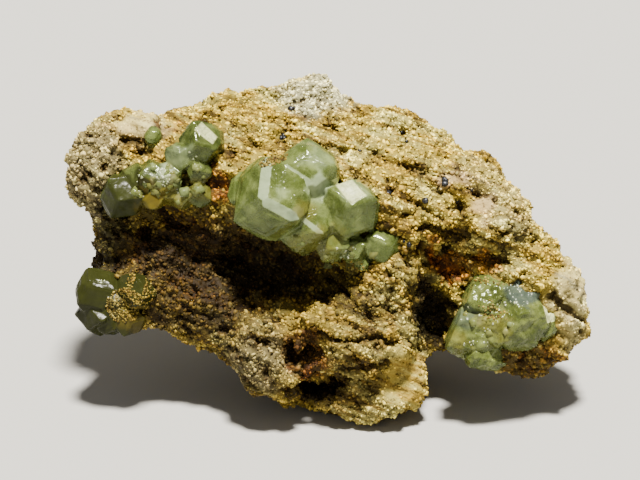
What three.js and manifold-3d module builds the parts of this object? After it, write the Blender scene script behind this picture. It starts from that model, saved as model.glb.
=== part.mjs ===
// A demantoid garnet specimen: clusters of green garnet crystals grown on a crumbly tan matrix.
// Millimetres, +Z up. The origin is under the middle of the specimen, on the surface it rests on.
// Forms are placed on the display face: x across it, y up it and z out of it, from its middle.
// The display face leans back, so the whole specimen is turned by that lean before its foot is cut flat.
// A turn is given in degrees: about z first, then about y, then about x.

import * as THREE from "three";
import { MarchingCubes } from "three/addons/objects/MarchingCubes.js";
import { ConvexGeometry } from "three/addons/geometries/ConvexGeometry.js";
import { ImprovedNoise } from "three/addons/math/ImprovedNoise.js";
import { mergeVertices } from "three/addons/utils/BufferGeometryUtils.js";
import Module from "manifold-3d";

const wasm = await Module();
wasm.setup();

// Driving dimensions.
const FACE_LEAN = 22; // degrees that the display face leans back from upright
const FOOT_LEVEL = -17.9; // height of the flat foot below the middle of the display face
const RIM_DEPTH = -5; // z of the outline's rim at the face's middle
const RIM_SLOPE = -0.22; // the rim lies further back as it goes up
const FRONT_SWELL = 3.2; // how far the bare front stands before the rim
const BACK_SWELL = 10; // how far the back bulges behind the rim
const ROUNDING = 8; // width of the rounded band along the outline
const BLEND = 1.3; // how softly lumps and hollows run into each other
const POCKET_GAP = 0.3; // clearance between a crystal cluster and its pocket in the matrix
const FACE_VARIATION = 0.25; // share by which a crystal's faces stand nearer or further out
const RIDGE_FALL = 25; // degrees by which the matrix's ridges fall towards the right
const FIELD_SIZE = 65.6; // side of the cube in which the matrix is worked out
const FIELD_STEPS = 40; // sample points along that side
const BACK_SPREAD = 1; // share by which the sample points lie wider apart at the back
const SMOOTHING_PASSES = 6; // passes that even out the matrix's triangles

// The matrix's outline on the display face, clockwise from the tip of the left lobe.
const OUTLINE = [
  [-27.9, 7.8], [-26.9, 9.9], [-26.1, 11.7], [-24.9, 13.5], [-23.1, 13.7], [-22.2, 14.3], [-20.2, 14.4],
  [-18.8, 13.8], [-18.3, 13.1], [-16.9, 14.2], [-14.3, 14.4], [-12.9, 14.6], [-12.9, 15.9], [-12, 16.5],
  [-9.5, 17.2], [-6.9, 17.1], [-4.5, 17.2], [-3, 17.9], [-1.3, 18.2], [0.5, 18], [1.6, 16.8], [2.1, 15.3],
  [4.2, 15.2], [6.7, 15.1], [8.8, 14.5], [10.9, 13.1], [12.7, 11.7], [14, 10], [16, 9.5], [18, 8.3],
  [19.4, 6.6], [20.9, 4.4], [22.4, 1.8], [23.3, 0.5], [25.5, -0.9], [26.9, -1.7], [27.2, -3], [28, -5.4],
  [27.8, -7.7], [26.6, -9.7], [24.8, -11.4], [23.5, -13], [22.4, -13.8], [20.4, -13.3], [18.1, -12.5],
  [14.9, -10.9], [12.4, -10.3], [10.4, -9.9], [9.7, -10.6], [10.2, -12.9], [10.4, -15.3], [9, -16.8],
  [6.9, -17.7], [4.4, -18.2], [2, -18], [-0.3, -16.8], [-2.8, -16.5], [-5.5, -15.8], [-7.6, -14.3],
  [-9.2, -12.6], [-10.7, -11], [-13.1, -10.2], [-15.2, -9.2], [-17.1, -7.7], [-19.7, -8], [-22.7, -8.2],
  [-24.3, -6.9], [-25, -5], [-24.8, -2.9], [-24.2, -1.1], [-23.9, 0.6], [-24.5, 2.4], [-25.2, 4.2],
  [-26.7, 6.1],
];

// Lobes that stand out of the bare front: middle, half sizes and turn.
const LOBES = [
  { name: "upper slab", at: [1, 8, -3.4], half: [25, 9, 5], turn: [-42, 0, -10] },
  { name: "right shoulder", at: [20, -0.3, -4.4], half: [8.5, 11, 6], turn: [-20, 0, 25] },
  { name: "right lobe", at: [24, -7, -4.8], half: [3.8, 6.5, 5], turn: [0, 0, 15] },
  { name: "left lobe", at: [-23.4, 9, -4.8], half: [4, 5.5, 5], turn: [0, 0, 0] },
  { name: "smooth lump", at: [-19, 13.2, -4.4], half: [3.2, 2.2, 2.6], turn: [0, 0, 0] },
  { name: "left neck", at: [-22, 1.5, -6.2], half: [2.6, 7, 4], turn: [0, 0, 0] },
  { name: "lower left lobe", at: [-20.6, -4.8, -4], half: [4.4, 3.4, 4.5], turn: [0, 0, 10] },
  { name: "pillar", at: [-11.6, -0.6, -3.6], half: [2.4, 8, 3.4], turn: [0, 0, -8] },
  { name: "bridge", at: [7.4, -3.2, 0], half: [4.6, 6.5, 4], turn: [0, 0, -20] },
  { name: "lower mass", at: [2.6, -9.4, -0.6], half: [8.6, 4.6, 5], turn: [0, 0, 8] },
  { name: "lower left lump", at: [-6.6, -11, 0.2], half: [3.6, 4.2, 3.4], turn: [0, 0, 25] },
  { name: "lower right lump", at: [7.2, -13.8, -3.4], half: [3.2, 3.8, 4], turn: [0, 0, 0] },
  { name: "bottom rim", at: [1.4, -15.6, -3.2], half: [7, 2.2, 3.6], turn: [0, 0, -6] },
  { name: "foot", at: [0.5, -11, -11.5], half: [10, 7.6, 8], turn: [0, 0, 0] },
  { name: "left flank of the foot", at: [-9.5, -5.5, -10], half: [8, 5.5, 6], turn: [0, 0, -25] },
  { name: "back ridge", at: [6, 4, -15.5], half: [15, 7, 4.5], turn: [0, 0, 14] },
  { name: "back hump", at: [-13, 4, -14], half: [9, 7.5, 4.5], turn: [0, 10, 0] },
  { name: "top knob", at: [-1.4, 15.8, -7.6], half: [3, 2.4, 2.6], turn: [0, 0, 0] },
];

// Hollows cut into it: the same values as a lobe's.
const HOLLOWS = [
  { name: "void beside the right cluster", at: [11.5, -8, 3], half: [2.5, 5.6, 9.5], turn: [0, 0, 8] },
  { name: "rust crack", at: [13.4, -1, 3], half: [4.8, 1.5, 4.6], turn: [0, 0, -14] },
  { name: "recess", at: [-6.5, -1.6, 2.4], half: [10.4, 3.8, 8], turn: [0, 0, -9] },
  { name: "upper cavity", at: [-2.4, -10.6, 4], half: [2.6, 2.5, 5.8], turn: [0, 0, 0] },
  { name: "lower slit", at: [-0.3, -14.5, 1.6], half: [3.4, 1.8, 6], turn: [0, 0, 8] },
  { name: "hollow under the right cluster", at: [19, -12, 2.5], half: [5, 2.6, 4.5], turn: [0, 0, -15] },
  { name: "crevice beside the centre cluster", at: [-11.2, 6.4, 4], half: [1.7, 1.5, 2.6], turn: [0, 0, 30] },
  { name: "dark dent above the crack", at: [13.8, 1.6, 4], half: [1.8, 0.9, 2], turn: [0, 0, -20] },
];

// Garnet crystals: twelve rhombic faces at a distance of `half` from the middle. A crystal shows
// either a three-way corner or a whole face to the front before its turn. `strip` is the width of
// the narrow faces along its edges, 0 where the crystal has none.
const CENTRE_CLUSTER = [
  { shows: "corner", at: [-4.8, 5.4, 3.6], half: 4.1, turn: [2, -21, 0], strip: 1.15 },
  { shows: "face", at: [-1.7, 7.8, 3.8], half: 3.1, turn: [-15, 3, 2], strip: 0.8 },
  { shows: "corner", at: [2.6, 4.3, 4.2], half: 2.7, turn: [0, -3, 170], strip: 0 },
  { shows: "corner", at: [-2.3, 3.2, 3.4], half: 3.2, turn: [-12, -15, -11], strip: 0.55 },
  { shows: "corner", at: [5.9, 0.6, 2.8], half: 1.65, turn: [0, 12, 185], strip: 0 },
  { shows: "face", at: [3, 0.1, 3.3], half: 1.3, turn: [12, 0, 30], strip: 0 },
  { shows: "corner", at: [3.9, -1.4, 2.6], half: 0.75, turn: [0, 30, 20], strip: 0 },
  { shows: "face", at: [-7.7, 6.1, 2.2], half: 2, turn: [0, -30, 40], strip: 0 },
  { shows: "corner", at: [-2.1, 1.7, 4], half: 1.7, turn: [25, 10, 20], strip: 0 },
  { shows: "corner", at: [0.8, 0.9, 3.6], half: 1.7, turn: [20, -10, 150], strip: 0 },
  { shows: "corner", at: [0.2, 2.9, 3.6], half: 2.1, turn: [10, 8, 40], strip: 0 },
];
const UPPER_LEFT_CLUSTER = [
  { shows: "face", at: [-12.9, 11.1, 0.9], half: 2.1, turn: [-27, 12, -45], strip: 0.3 },
  { shows: "corner", at: [-15.1, 9.7, 1.4], half: 1.4, turn: [-10, 0, 70], strip: 0 },
  { shows: "corner", at: [-13.2, 8.2, 1.2], half: 1.3, turn: [0, 0, 20], strip: 0 },
  { shows: "corner", at: [-13.3, 5.8, 0.9], half: 1.25, turn: [0, 10, 0], strip: 0 },
  { shows: "face", at: [-15, 5.4, 1], half: 1.1, turn: [10, 0, 90], strip: 0 },
  { shows: "face", at: [-18, 5.5, 1.2], half: 1.2, turn: [10, 0, 90], strip: 0 },
  { shows: "corner", at: [-21.1, 5.8, 0], half: 2.1, turn: [15, -10, 35], strip: 0 },
  { shows: "face", at: [-18.2, 7.6, 1.2], half: 1.6, turn: [-20, 0, 10], strip: 0 },
  { shows: "corner", at: [-16.6, 7.6, 1.4], half: 1.5, turn: [0, 0, 50], strip: 0 },
  { shows: "face", at: [-19.8, 7.3, 0.4], half: 1.5, turn: [0, -20, 60], strip: 0 },
  { shows: "face", at: [-16.7, 6.2, 1], half: 1.3, turn: [0, 20, 30], strip: 0 },
];
const UPPER_LEFT_CRYSTAL = [
  { shows: "face", at: [-18.1, 11.9, -1.7], half: 0.9, turn: [-10, 0, 20], strip: 0 },
];
const LOWER_LEFT_CLUSTER = [
  { shows: "corner", at: [-23.6, -4.6, -1.5], half: 2.3, turn: [-25, -20, 15], strip: 0.8 },
  { shows: "face", at: [-20.1, -4.5, -0.4], half: 1.8, turn: [-6, 4, 90], strip: 0 },
  { shows: "corner", at: [-20.7, -7.2, -1], half: 1.6, turn: [10, 10, 40], strip: 0 },
  { shows: "corner", at: [-22.4, -7.2, -1.3], half: 1.5, turn: [30, 0, 10], strip: 0 },
  { shows: "face", at: [-23.8, -6.7, -2], half: 2, turn: [20, -40, 0], strip: 0 },
  { shows: "corner", at: [-21.8, -5.6, -0.8], half: 1.6, turn: [10, 0, 60], strip: 0 },
];
const RIGHT_CLUSTER = [
  { shows: "face", at: [17, -5.4, 0.7], half: 2.5, turn: [-22, -6, 12], strip: 0 },
  { shows: "corner", at: [20.1, -7.6, 0.9], half: 2.9, turn: [-10, 8, 150], strip: 0.35 },
  { shows: "face", at: [15.4, -8.7, 0.9], half: 2.6, turn: [4, -12, 38], strip: 0.3 },
  { shows: "face", at: [20.4, -4.7, 0.6], half: 1.9, turn: [-30, 6, -10], strip: 0 },
  { shows: "corner", at: [16.5, -10.5, 0.9], half: 2, turn: [12, 0, 14], strip: 0 },
  { shows: "face", at: [22.9, -7.9, 0.5], half: 1.4, turn: [0, 20, 60], strip: 0 },
  { shows: "corner", at: [17.7, -8, 1.9], half: 1.9, turn: [-14, 6, 70], strip: 0 },
];

const radians = THREE.MathUtils.degToRad;
const turned = (turn) => new THREE.Matrix4().makeRotationFromEuler(new THREE.Euler(...turn.map(radians)));

const RIDGE_COS = Math.cos(radians(RIDGE_FALL));
const RIDGE_SIN = Math.sin(radians(RIDGE_FALL));
const noise = new ImprovedNoise();

// Signed distance from a point to the outline, positive inside.
function insideOutline(x, y) {
  let nearest = Infinity;
  let inside = false;
  OUTLINE.forEach(([ax, ay], i) => {
    const [bx, by] = OUTLINE[(i + 1) % OUTLINE.length];
    const along = ((x - ax) * (bx - ax) + (y - ay) * (by - ay)) / ((bx - ax) ** 2 + (by - ay) ** 2);
    const t = THREE.MathUtils.clamp(along, 0, 1);
    nearest = Math.min(nearest, Math.hypot(x - ax - t * (bx - ax), y - ay - t * (by - ay)));
    if (ay > y !== by > y && x < ((bx - ax) * (y - ay)) / (by - ay) + ax) inside = !inside;
  });
  return inside ? nearest : -nearest;
}

// Smooth versions of the larger and the smaller of two values.
function softMax(a, b, blend) {
  const h = Math.max(blend - Math.abs(a - b), 0) / blend;
  return Math.max(a, b) + (h * h * blend) / 4;
}
const softMin = (a, b, blend) => -softMax(-a, -b, blend);

// Depth of a point inside an ellipsoid about the origin, or an ellipse when z is 0: negative outside.
function insideRound(point, half) {
  const k0 = point.clone().divide(half).length();
  const k1 = point.clone().divide(half).divide(half).length();
  return k1 > 0 ? (k0 * (1 - k0)) / k1 : Math.min(half.x, half.y, half.z);
}
function insideLobe({ at, half, inverse }, point) {
  return insideRound(point.clone().sub(at).applyMatrix4(inverse), half);
}

function ellipsoid({ at, half, turn }) {
  return { at: new THREE.Vector3(...at), half: new THREE.Vector3(...half), inverse: turned(turn).invert() };
}
const lobes = LOBES.map(ellipsoid);
const hollows = HOLLOWS.map(ellipsoid);

// Depth inside a slab as wide as the outline, its edge rounded over a band of the given width.
function insideSlab(edge, height, band, front, back) {
  const reach = height > 0 ? front : back;
  const section = new THREE.Vector3(Math.max(band - edge, 0), Math.abs(height), 0);
  return insideRound(section, new THREE.Vector3(band, reach, reach));
}

// Crumbly relief: rounded lumps with creases between them, ridges that run down to the right, pits.
function crumble(p) {
  const lumps = 1.5 * Math.abs(noise.noise(p.x / 4.2, p.y / 4.2, p.z / 4.2)) + 0.05;
  const along = p.x * RIDGE_COS - p.y * RIDGE_SIN;
  const across = p.x * RIDGE_SIN + p.y * RIDGE_COS;
  const ridges = 0.8 * noise.noise(along / 7, across / 2.4, p.z / 3);
  const small = 0.6 * noise.noise(p.x / 2.2 + 9, p.y / 2.2, p.z / 2.2);
  const pits = 4 * Math.max(0, noise.noise(p.x / 3.6, p.y / 3.6 + 31, p.z / 3.6) - 0.38);
  return lumps + ridges + small - pits;
}

// Depth below the matrix's surface, negative outside it.
function matrixDepth(p) {
  const edge = insideOutline(p.x, p.y);
  const height = p.z - RIM_DEPTH - RIM_SLOPE * p.y;
  let depth = insideSlab(edge, height, ROUNDING, FRONT_SWELL, BACK_SWELL);
  for (const lobe of lobes) depth = softMax(depth, insideLobe(lobe, p), BLEND);
  for (const hollow of hollows) depth = softMin(depth, -insideLobe(hollow, p), BLEND);
  return softMin(depth, insideSlab(edge, height, 4, 14, 18), BLEND) + crumble(p);
}

// Sample points lie further apart behind the rim, where the surface needs less detail.
function spread(p) {
  const wider = 1 + BACK_SPREAD * THREE.MathUtils.smoothstep(-p.z, 0, 9);
  p.x *= wider;
  p.y *= wider;
  p.z -= 5;
  return p;
}

// A closed surface where the matrix's depth is zero.
function matrixGeometry() {
  const field = new MarchingCubes(FIELD_STEPS, undefined, false, false, 40000);
  const p = new THREE.Vector3();
  const place = (i) => ((i - field.halfsize) / field.halfsize) * (FIELD_SIZE / 2);
  for (let i = 0; i < field.size3; i++) {
    const column = i % field.size;
    const row = Math.floor(i / field.size) % field.size;
    const layer = Math.floor(i / field.size2);
    p.set(place(column), place(row), place(layer));
    field.field[i] = matrixDepth(spread(p));
  }
  field.isolation = 0;
  field.update();
  const corners = field.positionArray.slice(0, field.count * 3);
  const surface = new THREE.BufferGeometry();
  surface.setAttribute("position", new THREE.BufferAttribute(corners, 3));
  surface.scale(FIELD_SIZE / 2, FIELD_SIZE / 2, FIELD_SIZE / 2);
  const joined = welded(surface);
  const position = joined.getAttribute("position");
  for (let i = 0; i < position.count; i++) {
    position.setXYZ(i, ...spread(p.fromBufferAttribute(position, i)));
  }
  return evened(joined);
}

// The same surface with its shared corners joined and its collapsed triangles left out.
function welded(surface) {
  const bare = new THREE.BufferGeometry();
  bare.setAttribute("position", surface.getAttribute("position"));
  bare.setIndex(surface.index);
  const joined = mergeVertices(bare, 1e-5);
  const index = joined.index.array;
  const kept = [];
  for (let i = 0; i < index.length; i += 3) {
    const [a, b, c] = index.slice(i, i + 3);
    if (a !== b && b !== c && c !== a) kept.push(a, b, c);
  }
  joined.setIndex(kept);
  return joined;
}

// Move every corner towards the middle of its neighbours, then back onto the surface.
function evened(surface) {
  const position = surface.getAttribute("position");
  const index = surface.index.array;
  const neighbours = Array.from({ length: position.count }, () => new Set());
  for (let i = 0; i < index.length; i += 3) {
    for (let side = 0; side < 3; side++) {
      neighbours[index[i + side]].add(index[i + ((side + 1) % 3)]);
      neighbours[index[i + side]].add(index[i + ((side + 2) % 3)]);
    }
  }
  let points = Array.from(neighbours, (_, i) => new THREE.Vector3().fromBufferAttribute(position, i));
  for (let pass = 0; pass < SMOOTHING_PASSES; pass++) {
    points = points.map((point, i) => {
      const middle = new THREE.Vector3();
      for (const other of neighbours[i]) middle.add(points[other]);
      return ontoSurface(point.clone().lerp(middle.divideScalar(neighbours[i].size), 0.6));
    });
  }
  points.forEach((point, i) => position.setXYZ(i, ...point));
  return surface;
}

// One step along the depth's slope to where the depth is zero.
function ontoSurface(point) {
  const step = 0.2;
  const depth = matrixDepth(point);
  const slope = new THREE.Vector3();
  for (const axis of ["x", "y", "z"]) {
    const beside = point.clone();
    beside[axis] += step;
    slope[axis] = (matrixDepth(beside) - depth) / step;
  }
  const move = slope.multiplyScalar(-depth / Math.max(slope.lengthSq(), 0.3));
  return point.add(move.clampLength(0, 0.5));
}

function toSolid(geometry) {
  const { index, attributes } = welded(geometry);
  const mesh = new wasm.Mesh({
    numProp: 3,
    vertProperties: Float32Array.from(attributes.position.array),
    triVerts: Uint32Array.from(index.array),
  });
  mesh.merge();
  return new wasm.Manifold(mesh);
}

function toGeometry(solid) {
  const mesh = solid.getMesh();
  const geometry = new THREE.BufferGeometry();
  geometry.setAttribute("position", new THREE.BufferAttribute(mesh.vertProperties, 3));
  geometry.setIndex(new THREE.BufferAttribute(mesh.triVerts, 1));
  geometry.computeVertexNormals();
  return geometry;
}

// Directions of a cubic crystal's faces of one form: every order and sign of its three indices.
function form(h, k, l) {
  const found = new Map();
  for (const [a, b, c] of [[h, k, l], [k, l, h], [l, h, k]]) {
    for (let octant = 0; octant < 8; octant++) {
      const signs = [1, 2, 4].map((bit) => (octant & bit ? -1 : 1));
      const direction = new THREE.Vector3(a * signs[0], b * signs[1], c * signs[2]);
      found.set(direction.toArray().map((v) => v + 0).join(), direction.normalize());
    }
  }
  return [...found.values()];
}

const RHOMBIC = form(1, 1, 0);
const NARROW = form(2, 1, 1);

// Turn that brings a crystal's three-way corner, or one of its rhombic faces, to the front.
const SHOWN = {
  corner: new THREE.Matrix4().makeBasis(
    new THREE.Vector3(-1, 1, 0).normalize(),
    new THREE.Vector3(-1, -1, 2).normalize(),
    new THREE.Vector3(1, 1, 1).normalize()
  ).invert(),
  face: new THREE.Matrix4().makeBasis(
    new THREE.Vector3(1, -1, 0).normalize(),
    new THREE.Vector3(0, 0, -1),
    new THREE.Vector3(1, 1, 0).normalize()
  ).invert(),
};

// Corners of the body bounded by planes with the given normals and distances.
function cornersBetween(planes) {
  const corners = [];
  const side = new THREE.Matrix3();
  planes.forEach((a, i) => {
    for (let j = i + 1; j < planes.length; j++) {
      for (let k = j + 1; k < planes.length; k++) {
        const [b, c] = [planes[j], planes[k]];
        side.set(...a.normal, ...b.normal, ...c.normal);
        if (Math.abs(side.determinant()) < 0.02) continue;
        const corner = new THREE.Vector3(a.distance, b.distance, c.distance).applyMatrix3(side.invert());
        const beyond = planes.some(({ normal, distance }) => corner.dot(normal) > distance + 1e-6);
        if (!beyond) corners.push(corner);
      }
    }
  });
  return corners;
}

// One crystal, its faces moved out by `extra`. No two of its faces grew at quite the same rate.
function crystal({ shows, at, half, turn, strip }, extra = 0) {
  const planes = RHOMBIC.map((normal) => {
    const uneven = noise.noise(at[0] + 7 * normal.x, at[1] + 7 * normal.y, at[2] + 7 * normal.z);
    return { normal, distance: half * (1 + FACE_VARIATION * uneven) + extra };
  });
  if (strip > 0 && extra === 0) planes.push(...NARROW.map((normal) => strips(normal, planes, strip)));
  const body = new ConvexGeometry(cornersBetween(planes));
  body.applyMatrix4(SHOWN[shows]);
  body.applyMatrix4(turned(turn));
  body.translate(...at);
  return toSolid(body);
}

// The narrow face that cuts the edge between the two rhombic faces nearest to its normal.
function strips(normal, rhombic, width) {
  const [first, second] = rhombic.slice(0, 12).sort((a, b) => b.normal.dot(normal) - a.normal.dot(normal));
  const edge = (first.distance + second.distance) / (2 * Math.cos(Math.PI / 6));
  return { normal, distance: edge - width / (2 * Math.sqrt(3)) };
}

const together = (solids) => wasm.Manifold.union(solids);
const cluster = (crystals) => together(crystals.map((one) => crystal(one)));
const pocket = (crystals) => together(crystals.map((one) => crystal(one, POCKET_GAP)));

// From the display face to the upright specimen: y up the face leans back, z points to the front.
const upright = new THREE.Matrix4().makeRotationX(radians(90 - FACE_LEAN));

// Everything below the flat foot.
function ground() {
  const block = new THREE.BoxGeometry(100, 100, 20);
  block.translate(0, 0, FOOT_LEVEL - 10);
  return toSolid(block.applyMatrix4(upright.clone().invert()));
}

const CLUSTERS = {
  garnet_cluster_centre: CENTRE_CLUSTER,
  garnet_cluster_upper_left: UPPER_LEFT_CLUSTER,
  garnet_crystal_upper_left: UPPER_LEFT_CRYSTAL,
  garnet_cluster_lower_left: LOWER_LEFT_CLUSTER,
  garnet_cluster_right: RIGHT_CLUSTER,
};
const STONE = new THREE.MeshStandardMaterial({ color: 0xc4ab6e, roughness: 0.9 });
const GARNET = new THREE.MeshStandardMaterial({ color: 0x8f9a4a, roughness: 0.15 });
STONE.name = "matrix_stone";
GARNET.name = "garnet";

const pockets = together(Object.values(CLUSTERS).map(pocket));
const carved = toSolid(matrixGeometry()).subtract(pockets).subtract(ground());
const pieces = carved.decompose().sort((a, b) => b.volume() - a.volume());

const group = new THREE.Group();
function place(name, solid, material) {
  const mesh = new THREE.Mesh(toGeometry(solid).applyMatrix4(upright), material);
  mesh.name = name;
  group.add(mesh);
}
place("matrix", pieces[0], STONE);
for (const [name, crystals] of Object.entries(CLUSTERS)) place(name, cluster(crystals), GARNET.clone());

const bounds = new THREE.Box3().setFromObject(group);
const middle = bounds.getCenter(new THREE.Vector3());
group.children.forEach((mesh) => mesh.geometry.translate(-middle.x, -middle.y, -bounds.min.z));

export default group;
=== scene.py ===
"""Looks of a demantoid garnet specimen: crumbly matrix, garnet crystals, loose grains and light."""

from __future__ import annotations

import itertools
import logging
import math
import random
from dataclasses import dataclass
from enum import Enum

import bmesh
import bpy
import numpy as np
from mathutils import Matrix, Vector, noise
from mathutils.bvhtree import BVHTree

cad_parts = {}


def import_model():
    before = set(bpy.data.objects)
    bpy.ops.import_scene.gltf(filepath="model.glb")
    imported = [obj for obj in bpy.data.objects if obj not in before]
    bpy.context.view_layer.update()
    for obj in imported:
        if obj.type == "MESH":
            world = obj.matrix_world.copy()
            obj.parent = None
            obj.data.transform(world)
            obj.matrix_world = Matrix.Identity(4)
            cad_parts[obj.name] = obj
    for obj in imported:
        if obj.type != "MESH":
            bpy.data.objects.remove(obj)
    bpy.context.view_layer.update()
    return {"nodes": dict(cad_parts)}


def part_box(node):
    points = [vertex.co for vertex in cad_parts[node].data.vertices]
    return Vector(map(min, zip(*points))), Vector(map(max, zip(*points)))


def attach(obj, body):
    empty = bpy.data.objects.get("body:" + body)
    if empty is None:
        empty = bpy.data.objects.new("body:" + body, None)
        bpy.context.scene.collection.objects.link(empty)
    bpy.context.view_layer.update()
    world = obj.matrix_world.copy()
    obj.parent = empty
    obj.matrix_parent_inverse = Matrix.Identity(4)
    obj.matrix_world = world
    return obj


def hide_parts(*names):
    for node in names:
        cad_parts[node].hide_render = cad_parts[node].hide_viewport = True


LOG = logging.getLogger("garnet_specimen")
MM = 0.001  # a millimetre in metres
FACE_LEAN = 22.0  # degrees that the display face leans back
FACE_SHIFT = Vector((-0.234, -6.665, 17.9))  # the face's middle in the world, in millimetres
FACE_TURN = Matrix.Rotation(math.radians(90 - FACE_LEAN), 3, "X")  # from the face to the world
BEDDING = tuple(FACE_TURN @ Vector((0.375, 0.927, 0.0)))  # direction across the rock's layers
RIDGE_COS, RIDGE_SIN = 0.906, 0.423  # the ridges fall to the right by 25 degrees
KEY_MIRROR = Vector((0.034, -0.652, 0.757)).normalized()  # halfway from the camera to the key light
GARNET_IOR = 1.89
BACK_STARTS = -7.5  # how far behind the face the grains of the back begin, in millimetres
MERGE_REACH = 0.004  # millimetres under which two corners are one
STAIN_EDGE = (0.65, 1.3)  # where a stain begins to fade and ends, in shares of its reach
STAIN_FRONT = (-13.0, -8.0)  # depths between which the stains fade in, in millimetres
SEAM_FRONT = (-9.0, -6.0)  # depths between which the seams fade in, in millimetres
WANDER_SIZE = 2.2  # size of the ragged edges in millimetres
CUBE_SIDE = 1.1547  # side of a cube with corners 1 from its middle; the six tips reach as far
RAY_START = 30.0  # how far before the face a search for its surface begins, in millimetres


def from_face(x: float, y: float, z: float) -> Vector:
    """Place a point of the display face in the world.

    Args:
        x: Millimetres to the right of the face's middle.
        y: Millimetres up the face.
        z: Millimetres out of the face.

    Returns:
        The point in metres.
    """
    return (FACE_TURN @ Vector((x, y, z)) + FACE_SHIFT) * MM


def to_face(points: np.ndarray) -> np.ndarray:
    """Turn world points into display-face millimetres.

    Args:
        points: An array of points in metres, one a row.

    Returns:
        The same points on the face: across, up and out.
    """
    return (points / MM - np.array(FACE_SHIFT)) @ np.array(FACE_TURN)


def tint(red: int, green: int, blue: int) -> tuple[float, float, float, float]:
    """Make a shader colour from 0 to 255 values as a screen shows them.

    Args:
        red: Red value.
        green: Green value.
        blue: Blue value.

    Returns:
        Linear red, green, blue and a full alpha.
    """
    parts = [value / 255 for value in (red, green, blue)]
    linear = [v / 12.92 if v <= 0.04045 else ((v + 0.055) / 1.055) ** 2.4 for v in parts]
    return (linear[0], linear[1], linear[2], 1.0)


def soft_step(value: np.ndarray, low: float, high: float) -> np.ndarray:
    """Rise smoothly from 0 at low to 1 at high.

    Args:
        value: The numbers to map.
        low: Where the rise starts.
        high: Where the rise ends.

    Returns:
        Numbers from 0 to 1.
    """
    share = np.clip((value - low) / (high - low), 0.0, 1.0)
    return share * share * (3 - 2 * share)


class Value:
    """A number that varies over a surface, with Python's operators for its maths."""

    def __init__(self, book: NodeBook, socket: bpy.types.NodeSocket) -> None:
        """Wrap an output socket of a material."""
        self.book = book
        self.socket = socket

    def _math(self, operation: str, first: object, second: object) -> Value:
        """Add a Math node and return its result."""
        node = self.book.node("ShaderNodeMath", {"operation": operation}, {0: first, 1: second})
        return Value(self.book, node.outputs[0])

    def __add__(self, other: object) -> Value:
        """Return the sum."""
        return self._math("ADD", self, other)

    def __sub__(self, other: object) -> Value:
        """Return the difference."""
        return self._math("SUBTRACT", self, other)

    def __rsub__(self, other: object) -> Value:
        """Return the difference from a plain number."""
        return self._math("SUBTRACT", other, self)

    def __mul__(self, other: object) -> Value:
        """Return the product."""
        return self._math("MULTIPLY", self, other)

    __radd__ = __add__
    __rmul__ = __mul__

    def rising(self, low: float, high: float) -> Value:
        """Rise smoothly from 0 at low to 1 at high.

        Args:
            low: Where the rise starts.
            high: Where the rise ends.

        Returns:
            A value from 0 to 1.
        """
        sockets = {"Value": self, "From Min": low, "From Max": high}
        node = self.book.node("ShaderNodeMapRange", {"interpolation_type": "SMOOTHSTEP"}, sockets)
        return Value(self.book, node.outputs["Result"])


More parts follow.
